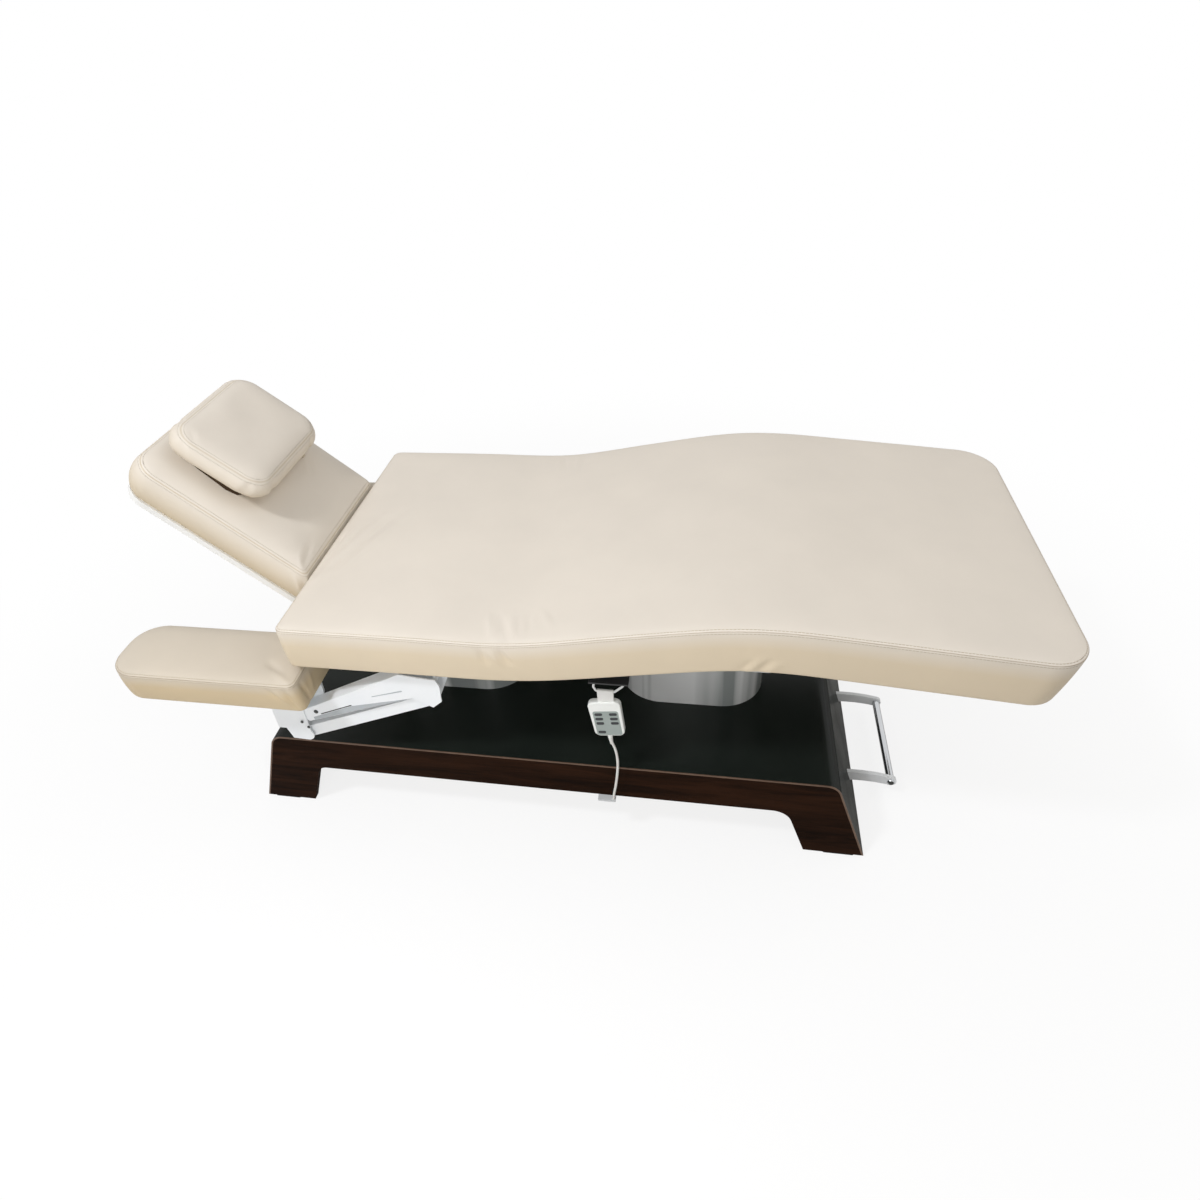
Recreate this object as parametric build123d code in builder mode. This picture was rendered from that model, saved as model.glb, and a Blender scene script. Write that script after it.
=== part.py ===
"""Electric massage table with a lifting top, a raised head section and a bent knee.

Millimetres. X runs from the head end to the foot end, Z is up, and the near long side faces -Y.
The origin is on the floor, under the middle of the table's length.
"""
import os
from math import cos, pi, radians, sin, tan

from build123d import *

os.makedirs("parts", exist_ok=True)

# Whole table, with the top at its lowest
table_length = 2000
pad_width = 780
head_overhang = 440
pad_depth = 108
pad_crown = 8
pad_lean = 3
pad_rim = 12
seat_height = 665
board_thickness = 15
board_inset = 35
overrun = 400

foot_x = table_length / 2
pad_length = table_length - head_overhang
head_edge_x = foot_x - pad_length
board_top_z = seat_height - pad_depth
board_low_z = board_top_z - board_thickness
board_width = pad_width - 2 * board_inset

# Base, a bent panel over two side aprons
base_width = 648
base_height = 244
base_top_length = 1363
base_centre_x = -47
end_flare = 19.5
sheet_thickness = 4
bend_radius = 38
apron_thickness = 18
apron_depth = 104
leg_width = 133
head_notch_radius = 30
foot_notch_radius = 48
edge_strip_width = 2
carcass_thickness = 18
carcass_clearance = 16
glide_height = 3
glide_length = 70
glide_inset = 18

half_base = base_width / 2
half_carcass = half_base - apron_thickness
notch_top_z = base_height - apron_depth
flare_run = (base_height - glide_height) * tan(radians(end_flare))
top_left_x = base_centre_x - base_top_length / 2
top_right_x = base_centre_x + base_top_length / 2

# Two lifting columns inside nested oval sleeves
column_spacing = 600
sleeve_length = 356
sleeve_width = 214
sleeve_wall = 2
sleeve_gap = 0.5
sleeve_step = 4
lower_headroom = 50.5
middle_headroom = 24.5
lift_travel = 250
drive_size = 80
drive_wall = 4
drive_gap = 0.5
drive_low_z = 60
drive_slot = 2
flange_length = 200
flange_width = 140
flange_thickness = 3
gearmotor_length = 170
gearmotor_width = 100
gearmotor_height = 70
gearmotor_radius = 12
rod_wall = 3
rod_step = 20
top_plate_thickness = 6

# Steel frame under the boards
rail_depth = 41
rail_width = 30
rail_wall = 2
rail_drop = 0.5
rail_y = 225
rail_head_place = 30
rail_foot_place = 360
cross_width = 30
cross_depth = 15

rail_head_x = head_edge_x + rail_head_place
rail_foot_x = foot_x - rail_foot_place
rail_top_z = board_low_z - rail_drop
rail_low_z = rail_top_z - rail_depth
rail_inner_y = rail_y - rail_width / 2
rail_outer_y = rail_y + rail_width / 2
top_plate_z = rail_low_z - top_plate_thickness
column_places = [(-column_spacing / 2, 0), (column_spacing / 2, 0)]

# Hinges of the head, thigh and leg sections
eye_radius = 12.5
eye_seat = 0.5
arm_thickness = 8
ear_thickness = 6
side_play = 0.3
pin_radius = 6
pin_play = 0.05
pin_end = 2
pivot_drop = eye_radius + eye_seat
pivot_z = board_low_z - pivot_drop
back_extra = 10
thigh_trim = 63
thigh_rise = 10
thigh_travel = 12
leg_fall = 5.5
head_rise = 41
head_pivot_gap = 5
head_gap = 1.5
fold_gap = 0.5
board_gap = 8

back_length = pad_length / 3 + back_extra
thigh_length = pad_length / 3 - thigh_trim
fold_x = head_edge_x + back_length
head_pivot_x = head_edge_x - head_pivot_gap
knee_x = fold_x + thigh_length * cos(radians(thigh_rise))
knee_z = pivot_z + thigh_length * sin(radians(thigh_rise))
fold_lean = (thigh_rise + thigh_travel) / 2


def tilted(x, z, angle):
    """Plane through a pivot line along Y, with local x turned up from the foot direction."""
    turn = radians(angle)
    return Plane(origin=(x, 0, z), x_dir=(cos(turn), 0, sin(turn)), z_dir=(-sin(turn), 0, cos(turn)))


def section(plane, y):
    """Lengthwise section of a tilted plane at y: local x along it, local y square to it."""
    return Plane(origin=plane.from_local_coords((0, y, 0)), x_dir=plane.x_dir, z_dir=-plane.y_dir)


def crosswise(plane, x):
    """Cross section of a tilted plane at local x: local x runs along Y, local y is square to it."""
    return Plane(origin=plane.from_local_coords((x, 0, 0)), x_dir=plane.y_dir, z_dir=plane.x_dir)


floor_plane = tilted(0, 0, 0)
back_plane = tilted(fold_x, pivot_z, 0)
thigh_plane = tilted(fold_x, pivot_z, thigh_rise)
leg_plane = tilted(knee_x, knee_z, -leg_fall)
head_plane = tilted(head_pivot_x, pivot_z, -head_rise)
soft_h = pivot_drop + board_thickness


def write(part, name):
    """Label a finished piece and write its own file."""
    part.label = name
    export_step(part, f"parts/{name}.step")


# Bent top panel, edge strips, aprons and carcass boards of the base


def outline(inset):
    """Corners of the base's end view, moved in square to each side by inset."""
    corner = inset * tan(radians(45 - end_flare / 2))
    foot = inset / cos(radians(end_flare))
    return [
        (top_left_x - flare_run + foot, glide_height),
        (top_left_x + corner, base_height - inset),
        (top_right_x - corner, base_height - inset),
        (top_right_x + flare_run - foot, glide_height),
    ]


outer_points = outline(0)
inner_points = outline(sheet_thickness)
inner_radius = bend_radius - sheet_thickness


def bent_band(width, y):
    """The sheet that runs up one end, over the top and down the other end."""
    with BuildPart() as band:
        with BuildSketch(section(floor_plane, y)):
            with BuildLine():
                FilletPolyline(*outer_points, radius=bend_radius)
                Line(outer_points[-1], inner_points[-1])
                FilletPolyline(*inner_points, radius=inner_radius)
                Line(inner_points[0], outer_points[0])
            make_face()
        extrude(amount=width / 2, both=True)
    return band.part


with BuildPart() as top_panel:
    add(bent_band(base_width - 2 * edge_strip_width, 0))
    with BuildSketch(Plane.XY.offset(base_height)):
        with Locations(*column_places):
            Rectangle(drive_size + 2 * drive_slot, drive_size + 2 * drive_slot)
    extrude(amount=-sheet_thickness, mode=Mode.SUBTRACT)
write(top_panel.part, "top_panel")

with BuildPart() as edge_strips:
    for side in (-1, 1):
        add(bent_band(edge_strip_width, side * (half_base - edge_strip_width / 2)))
write(edge_strips.part, "edge_strips")

notch_run = (notch_top_z - glide_height) * tan(radians(end_flare))
notch_left_x = inner_points[0][0] + leg_width
notch_right_x = inner_points[-1][0] - leg_width
for side, name in ((1, "right_apron"), (-1, "left_apron")):
    with BuildPart() as apron:
        with BuildSketch(section(floor_plane, -side * half_carcass)):
            with BuildLine():
                FilletPolyline(
                    *inner_points,
                    (notch_right_x, glide_height),
                    (notch_right_x - notch_run, notch_top_z),
                    (notch_left_x + notch_run, notch_top_z),
                    (notch_left_x, glide_height),
                    radius=[0, inner_radius, inner_radius, 0, 0, foot_notch_radius, head_notch_radius, 0],
                    close=True,
                )
            make_face()
        extrude(amount=side * apron_thickness)
    write(apron.part, name)

deck_top_z = base_height - sheet_thickness
deck_low_z = deck_top_z - carcass_thickness
deck_length = base_top_length - 2 * bend_radius
board_low = outline(sheet_thickness + carcass_thickness)
end_low_z = glide_height + carcass_clearance
end_high_z = deck_low_z - carcass_clearance


def slope_x(points, end, z):
    """X where a sloping end of an outline passes height z: end 0 is the head, -1 the foot."""
    low, high = points[end], points[1 if end == 0 else -2]
    return low[0] + (high[0] - low[0]) * (z - low[1]) / (high[1] - low[1])


with BuildPart() as carcass_boards:
    with BuildSketch(Plane.XY.offset(deck_low_z)):
        with Locations((base_centre_x, 0)):
            Rectangle(deck_length, 2 * half_carcass)
        with Locations(*column_places):
            Rectangle(drive_size + 2 * drive_slot, drive_size + 2 * drive_slot, mode=Mode.SUBTRACT)
    extrude(amount=carcass_thickness)
    for end in (0, -1):
        with BuildSketch(section(floor_plane, 0)):
            with BuildLine():
                Polyline(
                    (slope_x(inner_points, end, end_low_z), end_low_z),
                    (slope_x(inner_points, end, end_high_z), end_high_z),
                    (slope_x(board_low, end, end_high_z), end_high_z),
                    (slope_x(board_low, end, end_low_z), end_low_z),
                    close=True,
                )
            make_face()
        extrude(amount=half_carcass, both=True)
write(carcass_boards.part, "carcass_boards")

glide_x = [outer_points[0][0] + glide_inset + glide_length / 2 + sheet_thickness]
glide_x.append(outer_points[-1][0] - glide_inset - glide_length / 2 - sheet_thickness)
glide_y = half_base - apron_thickness / 2
with BuildPart() as floor_glides:
    with BuildSketch():
        with Locations(*[(x, side * glide_y) for x in glide_x for side in (-1, 1)]):
            RectangleRounded(glide_length, apron_thickness, glide_height)
    extrude(amount=glide_height)
write(floor_glides.part, "floor_glides")

# Handle at the foot end, two curved arms and a round bar
handle_z = 64
handle_spread = 270
handle_drop = 9
handle_reach = 101
handle_bar_radius = 9
handle_bar_overhang = 4
handle_arm_thickness = 10
handle_root_height = 28
handle_eye_radius = 13
handle_arch = 4

handle_low_z = handle_z - handle_root_height / 2
handle_high_z = handle_z + handle_root_height / 2
handle_bar_x = slope_x(outer_points, -1, handle_z) + handle_reach
handle_bar_z = handle_z - handle_drop
handle_half = handle_spread / 2 + handle_arm_thickness / 2 + handle_bar_overhang
with BuildPart() as handle_arms:
    for side in (-1, 1):
        with BuildSketch(section(floor_plane, side * handle_spread / 2)):
            with BuildLine():
                root_high = (slope_x(outer_points, -1, handle_high_z), handle_high_z)
                root_low = (slope_x(outer_points, -1, handle_low_z), handle_low_z)
                tip_high = (handle_bar_x, handle_bar_z + handle_eye_radius)
                tip_low = (handle_bar_x, handle_bar_z - handle_eye_radius)
                middle_x = (root_high[0] + handle_bar_x) / 2
                arch_high = (root_high[1] + tip_high[1]) / 2 + handle_arch
                arch_low = (root_low[1] + tip_low[1]) / 2 + handle_arch
                ThreePointArc(root_high, (middle_x, arch_high), tip_high)
                ThreePointArc(tip_high, (handle_bar_x + handle_eye_radius, handle_bar_z), tip_low)
                ThreePointArc(tip_low, (middle_x, arch_low), root_low)
                Line(root_low, root_high)
            make_face()
            with Locations((handle_bar_x, handle_bar_z)):
                Circle(handle_bar_radius, mode=Mode.SUBTRACT)
        extrude(amount=handle_arm_thickness / 2, both=True)
write(handle_arms.part, "handle_arms")

with BuildPart() as handle_bar:
    with BuildSketch(section(floor_plane, 0)):
        with Locations((handle_bar_x, handle_bar_z)):
            Circle(handle_bar_radius)
    extrude(amount=handle_half, both=True)
    chamfer(handle_bar.edges().filter_by(GeomType.CIRCLE), sleeve_wall)
write(handle_bar.part, "handle_bar")

# Control box and its mains inlet, hung under the deck
box_length = 260
box_width = 120
box_height = 55
box_radius = 8
box_y = 110
box_x = 20
inlet_length = 30
inlet_width = 22
inlet_depth = 14
inlet_rim = 3
inlet_hollow_depth = 10
box_low_z = deck_low_z - box_height
inlet_z = box_low_z + box_height / 2

with BuildPart() as control_box:
    with BuildSketch(Plane.XY.offset(box_low_z)):
        with Locations((box_x, box_y)):
            RectangleRounded(box_length, box_width, box_radius)
    extrude(amount=box_height)
    fillet(control_box.faces().sort_by(Axis.Z)[0].edges(), sheet_thickness)
write(control_box.part, "control_box")

with BuildPart() as mains_inlet:
    with BuildSketch(Plane.YZ.offset(box_x + box_length / 2)):
        with Locations((box_y, inlet_z)):
            RectangleRounded(inlet_length, inlet_width, inlet_rim)
    extrude(amount=inlet_depth)
    with BuildSketch(Plane.YZ.offset(box_x + box_length / 2 + inlet_depth)):
        with Locations((box_y, inlet_z)):
            Rectangle(inlet_length - 2 * inlet_rim, inlet_width - 2 * inlet_rim)
    extrude(amount=-inlet_hollow_depth, mode=Mode.SUBTRACT)
write(mains_inlet.part, "mains_inlet")

# Nested oval sleeves of the two columns
lower_top_z = top_plate_z - lower_headroom
middle_low_z = base_height + sleeve_step
upper_low_z = middle_low_z + sleeve_step
sleeves = (
    ("lower", 0, base_height, lower_top_z),
    ("middle", 1, middle_low_z, top_plate_z - middle_headroom),
    ("upper", 2, upper_low_z, top_plate_z),
)
for end, place in zip(("head", "foot"), column_places):
    for stage, nesting, low_z, high_z in sleeves:
        shrink = 2 * nesting * (sleeve_wall + sleeve_gap)
        with BuildPart() as sleeve:
            with BuildSketch(Plane.XY.offset(low_z)):
                with Locations(place):
                    SlotOverall(sleeve_length - shrink, sleeve_width - shrink)
                    SlotOverall(
                        sleeve_length - shrink - 2 * sleeve_wall,
                        sleeve_width - shrink - 2 * sleeve_wall,
                        mode=Mode.SUBTRACT,
                    )
            extrude(amount=high_z - low_z)
        write(sleeve.part, f"{end}_{stage}_sleeve")

# Lifting drives: a geared motor and an outer tube through the deck, and the rods they push
drive_top_z = lower_top_z - sleeve_step
drive_inner = drive_size - 2 * drive_wall
rod_size = drive_inner - 2 * drive_gap
rod_low_z = drive_low_z + rod_step
with BuildPart() as lift_drives:
    with BuildSketch(Plane.XY.offset(drive_low_z)):
        with Locations(*column_places):
            Rectangle(drive_size, drive_size)
    extrude(amount=drive_top_z - drive_low_z)
    with BuildSketch(Plane.XY.offset(drive_low_z)):
        with Locations(*[(x + (gearmotor_length - drive_size) / 2, y) for x, y in column_places]):
            RectangleRounded(gearmotor_length, gearmotor_width, gearmotor_radius)
    extrude(amount=gearmotor_height)
    with BuildSketch(Plane.XY.offset(base_height)):
        with Locations(*column_places):
            RectangleRounded(flange_length, flange_width, gearmotor_radius)
    extrude(amount=flange_thickness)
    with BuildSketch(Plane.XY.offset(drive_low_z + drive_wall)):
        with Locations(*column_places):
            Rectangle(drive_inner, drive_inner)
    extrude(amount=drive_top_z - drive_low_z, mode=Mode.SUBTRACT)
write(lift_drives.part, "lift_drives")

with BuildPart() as lift_rods:
    with BuildSketch(Plane.XY.offset(rod_low_z)):
        with Locations(*column_places):
            Rectangle(rod_size, rod_size)
            Rectangle(rod_size - 2 * rod_wall, rod_size - 2 * rod_wall, mode=Mode.SUBTRACT)
    extrude(amount=top_plate_z - rod_low_z)
    with BuildSketch(Plane.XY.offset(top_plate_z)):
        with Locations(*column_places):
            RectangleRounded(sleeve_length, 2 * rail_outer_y, gearmotor_radius)
    extrude(amount=top_plate_thickness)
write(lift_rods.part, "lift_rods")

# Frame rails and cross tubes
with BuildPart() as side_rails:
    with BuildSketch(Plane.YZ.offset(rail_head_x)):
        with Locations(*[(side * rail_y, (rail_low_z + rail_top_z) / 2) for side in (-1, 1)]):
            RectangleRounded(rail_width, rail_depth, rail_wall)
            Rectangle(rail_width - 2 * rail_wall, rail_depth - 2 * rail_wall, mode=Mode.SUBTRACT)
    extrude(amount=rail_foot_x - rail_head_x)
write(side_rails.part, "side_rails")

head_cross_x = rail_head_x + cross_width / 2
fold_cross_x = fold_x - cross_width / 2 - 2 * eye_radius
foot_cross_x = rail_foot_x - cross_width / 2
with BuildPart() as cross_tubes:
    with BuildSketch(Plane.XY.offset(rail_low_z)):
        with Locations((head_cross_x, 0), (fold_cross_x, 0), (foot_cross_x, 0)):
            Rectangle(cross_width, 2 * rail_inner_y)
    extrude(amount=cross_depth)
write(cross_tubes.part, "cross_tubes")

# Hinge ears and pins on the frame, for the head arms and the thigh arms
head_arm_y = 140
thigh_arm_y = 190
leg_arm_y = thigh_arm_y - arm_thickness - side_play
ear_offset = arm_thickness / 2 + side_play
ear_root_z = rail_low_z + cross_depth / 2


def hinge_ear(x, root_x, arm_y, side):
    """A plate from a cross tube up to a pivot, inboard of the arm, with the pin through the arm."""
    inner_y = arm_y - ear_offset
    with BuildPart() as ear:
        with BuildSketch(section(floor_plane, side * inner_y)):
            with Locations((x, pivot_z)):
                Circle(eye_radius)
            with Locations((root_x, ear_root_z)):
                Circle(cross_depth / 2)
            make_hull()
        extrude(amount=side * ear_thickness)
        with BuildSketch(section(floor_plane, side * inner_y)):
            with Locations((x, pivot_z)):
                Circle(pin_radius)
        extrude(amount=-side * (arm_thickness + side_play + pin_end))
    return ear.part


with BuildPart() as hinge_ears:
    for side in (-1, 1):
        add(hinge_ear(head_pivot_x, rail_head_x + cross_depth / 2, head_arm_y, side))
        add(hinge_ear(fold_x, fold_cross_x, thigh_arm_y, side))
    with BuildSketch(Plane.XY.offset(rail_low_z)):
        with Locations((head_cross_x, 0), (fold_cross_x, 0)):
            Rectangle(cross_width, 2 * rail_inner_y)
    extrude(amount=cross_depth, mode=Mode.SUBTRACT)
write(hinge_ears.part, "hinge_ears")


def hinge_arm(plane, arm_y, side, length, both_ends):
    """A flat arm under a board, from its eye at the plane's origin out to length along local x."""
    way = 1 if length > 0 else -1
    with BuildPart() as arm:
        with BuildSketch(section(plane, side * arm_y)):
            with Locations((0, 0)):
                Circle(eye_radius)
            with Locations((length, 0)):
                Circle(eye_radius)
            make_hull()
            with Locations((0, 0)):
                Circle(pin_radius + pin_play, mode=Mode.SUBTRACT)
        extrude(amount=arm_thickness / 2, both=True)
        if both_ends:
            with BuildSketch(section(plane, side * (arm_y - arm_thickness / 2))):
                with Locations((length, 0)):
                    Circle(pin_radius)
            extrude(amount=side * (arm_thickness + side_play + pin_end))
    return arm.part


head_length = 524
head_width = 418
head_arm_length = 400
leg_arm_margin = 189
leg_length = (foot_x - knee_x - (soft_h + pad_depth) * sin(radians(leg_fall))) / cos(radians(leg_fall))
for name, plane, arm_y, length, both_ends in (
    ("thigh_arms", thigh_plane, thigh_arm_y, thigh_length, True),
    ("leg_arms", leg_plane, leg_arm_y, leg_length - leg_arm_margin, False),
    ("head_arms", head_plane, head_arm_y, -head_arm_length, False),
):
    with BuildPart() as arms:
        for side in (-1, 1):
            add(hinge_arm(plane, arm_y, side, length, both_ends))
    write(arms.part, name)

# Boards that carry the pads
board_radius = 40
foot_radius = 65
head_radius = 55
head_corner_radius = 16


def board(plane, low_x, high_x, width, low_radius, high_radius):
    """A flat board lying on the arms of one section."""
    with BuildPart() as flat:
        with BuildSketch(plane.offset(pivot_drop)) as plan:
            with Locations(((low_x + high_x) / 2, 0)):
                Rectangle(high_x - low_x, width)
            if low_radius:
                fillet(plan.vertices().group_by(Axis.X)[0], low_radius)
            if high_radius:
                fillet(plan.vertices().group_by(Axis.X)[-1], high_radius)
        extrude(amount=board_thickness)
    return flat.part


back_board = board(back_plane, board_inset - back_length, -board_gap, board_width, board_radius, 0)
write(back_board, "back_board")
thigh_board = board(thigh_plane, board_gap, thigh_length - fold_gap, board_width, 0, 0)
write(thigh_board, "thigh_board")
leg_board = board(leg_plane, fold_gap, leg_length - board_inset, board_width, 0, foot_radius)
write(leg_board, "leg_board")
head_end = Plane.YZ.offset(head_edge_x - head_gap)
with BuildPart() as head_board:
    add(board(head_plane, -head_length, 0, head_width, head_radius, 0))
    split(bisect_by=head_end, keep=Keep.BOTTOM)
write(head_board.part, "head_board")


def cushion(plane, low_x, high_x, y, width, depth, crown, lean, rim, low_radius, high_radius):
    """A pad with a crowned top, sides that draw in towards its underside and a rounded rim."""
    draw_in = depth * tan(radians(lean))
    with BuildPart() as soft:
        with BuildSketch(plane) as plan:
            with Locations(((low_x + high_x) / 2, y)):
                Rectangle(high_x - low_x - 2 * draw_in, width - 2 * draw_in)
            fillet(plan.vertices().group_by(Axis.X)[0], low_radius)
            fillet(plan.vertices().group_by(Axis.X)[-1], high_radius)
        extrude(amount=depth + crown, taper=-lean)
        with BuildSketch(crosswise(plane, low_x - overrun)):
            with BuildLine():
                edge = width / 2 + crown
                ThreePointArc((y - edge, depth), (y, depth + crown), (y + edge, depth))
                Polyline((y + edge, depth), (y + edge, -crown), (y - edge, -crown), (y - edge, depth))
            make_face()
        extrude(amount=high_x - low_x + 2 * overrun, mode=Mode.INTERSECT)
        top = soft.faces().sort_by(Axis(plane.origin, plane.z_dir))[-1]
        fillet(top.edges(), rim)
    return soft.part


# The main pad, in three lengths that meet at the fold and the knee
lean_turn = radians(fold_lean)
fold_cut = Plane(
    origin=back_plane.from_local_coords((-fold_gap, 0, 0)),
    x_dir=(0, 1, 0),
    z_dir=(-cos(lean_turn), 0, -sin(lean_turn)),
)
with BuildPart() as back_pad:
    add(cushion(
        back_plane.offset(soft_h), -back_length, overrun, 0, pad_width, pad_depth, pad_crown,
        pad_lean, pad_rim, head_corner_radius, head_corner_radius,
    ))
    split(bisect_by=fold_cut, keep=Keep.TOP)
write(back_pad.part, "back_pad")

thigh_turn = radians(thigh_rise - fold_lean)
thigh_cut = Plane(
    origin=thigh_plane.from_local_coords((fold_gap, 0, 0)),
    x_dir=(0, 1, 0),
    z_dir=(cos(thigh_turn), 0, sin(thigh_turn)),
)
knee_cut = Plane(
    origin=thigh_plane.from_local_coords((thigh_length - fold_gap, 0, 0)),
    x_dir=(0, 1, 0),
    z_dir=-thigh_plane.x_dir,
)
with BuildPart() as thigh_pad:
    add(cushion(
        thigh_plane.offset(soft_h), -overrun, thigh_length + overrun, 0, pad_width, pad_depth, pad_crown,
        pad_lean, pad_rim, head_corner_radius, head_corner_radius,
    ))
    split(bisect_by=thigh_cut, keep=Keep.TOP)
    split(bisect_by=knee_cut, keep=Keep.TOP)
write(thigh_pad.part, "thigh_pad")

leg_cut = Plane(
    origin=leg_plane.from_local_coords((fold_gap, 0, 0)),
    x_dir=(0, 1, 0),
    z_dir=leg_plane.x_dir,
)
with BuildPart() as leg_pad:
    add(cushion(
        leg_plane.offset(soft_h), -overrun, leg_length, 0, pad_width, pad_depth, pad_crown,
        pad_lean, pad_rim, head_corner_radius, foot_radius,
    ))
    split(bisect_by=leg_cut, keep=Keep.TOP)
write(leg_pad.part, "leg_pad")

# Head cushion and pillow
head_pad_depth = 95
head_pad_overhang = 6
with BuildPart() as head_pad:
    add(cushion(
        head_plane.offset(soft_h), -head_length - head_pad_overhang, overrun, 0, head_width + 2 * head_pad_overhang,
        head_pad_depth, pad_crown, pad_lean, pad_rim, head_radius, head_corner_radius,
    ))
    split(bisect_by=head_end, keep=Keep.BOTTOM)
write(head_pad.part, "head_pad")

pillow_length = 212
pillow_width = 318
pillow_depth = 78
pillow_place = 375
pillow_radius = 34
pillow_rim = 20
soft_gap = 0.3
pillow_low = head_plane.offset(soft_h + head_pad_depth + pad_crown + soft_gap)
pillow = cushion(
    pillow_low, -pillow_place - pillow_length / 2, -pillow_place + pillow_length / 2, 0, pillow_width,
    pillow_depth, pad_crown, pad_lean, pillow_rim, pillow_radius, pillow_radius,
)
write(pillow, "pillow")

# Armrests on parallel links, one on each long side
armrest_tuck = 25
armrest_inner_y = 255
armrest_outer_y = 430
armrest_top_z = 545
armrest_depth = 88
armrest_tip_radius = 72
armrest_corner_radius = 18
link_width = 36
link_inner_y = 327
link_wall = 3
link_length = 352
link_angle = 23.2
low_pivot_place = 292
low_pivot_z = 455
pivot_rise_x = 25
pivot_rise_z = 58
bar_width = 24
bar_height = 32
link_eye = 12
channel_edge = 9
channel_low_top = 26
channel_high_top = 50
channel_peak = 60
channel_heel = 52
channel_foot = 62
channel_foot_run = 38
channel_notch = 22
channel_notch_run = 70
plate_thickness = 6
plate_radius = 24
nose_radius = 16
cap_radius = 18
cap_thickness = 3
guard_near = 14
guard_far = 67
guard_step = 18
guard_run = 38
guard_slope = 10
carrier_length = 300
carrier_width = 130
carrier_thickness = 4
carrier_reach = 55
carrier_root = 120
outrigger_width = 30
outrigger_depth = 24

armrest_end_x = head_edge_x + armrest_tuck
low_pivot_x = head_edge_x + low_pivot_place
link_turn = radians(link_angle)
link_run_x = link_length * cos(link_turn)
link_run_z = link_length * sin(link_turn)
high_pivot_x = low_pivot_x + pivot_rise_x
high_pivot_z = low_pivot_z + pivot_rise_z
armrest_low_z = armrest_top_z - armrest_depth
armrest_y = (armrest_inner_y + armrest_outer_y) / 2
link_y = link_inner_y + link_width / 2
link_outer_y = link_inner_y + link_width
plate_y = link_inner_y - 2 * side_play
bar_inner_y = link_y - bar_width / 2
high_link_plane = tilted(high_pivot_x, high_pivot_z, link_angle)
low_link_plane = tilted(low_pivot_x, low_pivot_z, link_angle)
armrest_plane = tilted(0, armrest_low_z, 0)


def link_pin(x, z, side, reach):
    """A pin from a pivot plate outwards by reach."""
    with BuildPart() as pin:
        with BuildSketch(section(floor_plane, side * plate_y)):
            with Locations((x, z)):
                Circle(pin_radius)
        extrude(amount=-side * reach)
    return pin.part


bar_reach = bar_inner_y + bar_width - plate_y + side_play
channel_reach = link_outer_y - plate_y
cap_reach = channel_reach + 2 * side_play
channel_back = [
    (link_eye, channel_edge),
    (link_eye, -channel_edge),
    (-link_length - link_eye, -channel_edge),
    (-link_length - link_eye, channel_low_top),
    (-channel_peak, channel_high_top),
    (-link_eye, channel_notch),
]
channel_face = [
    (link_eye, channel_edge),
    (link_eye, -channel_edge),
    (-channel_edge, -channel_heel),
    (-channel_foot_run, -channel_foot),
    (-channel_notch_run, -channel_notch),
    (-link_length - link_eye, -channel_edge),
    (-link_length - link_eye, channel_low_top),
    (-channel_peak, channel_high_top),
    (-link_eye, channel_notch),
]

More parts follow.
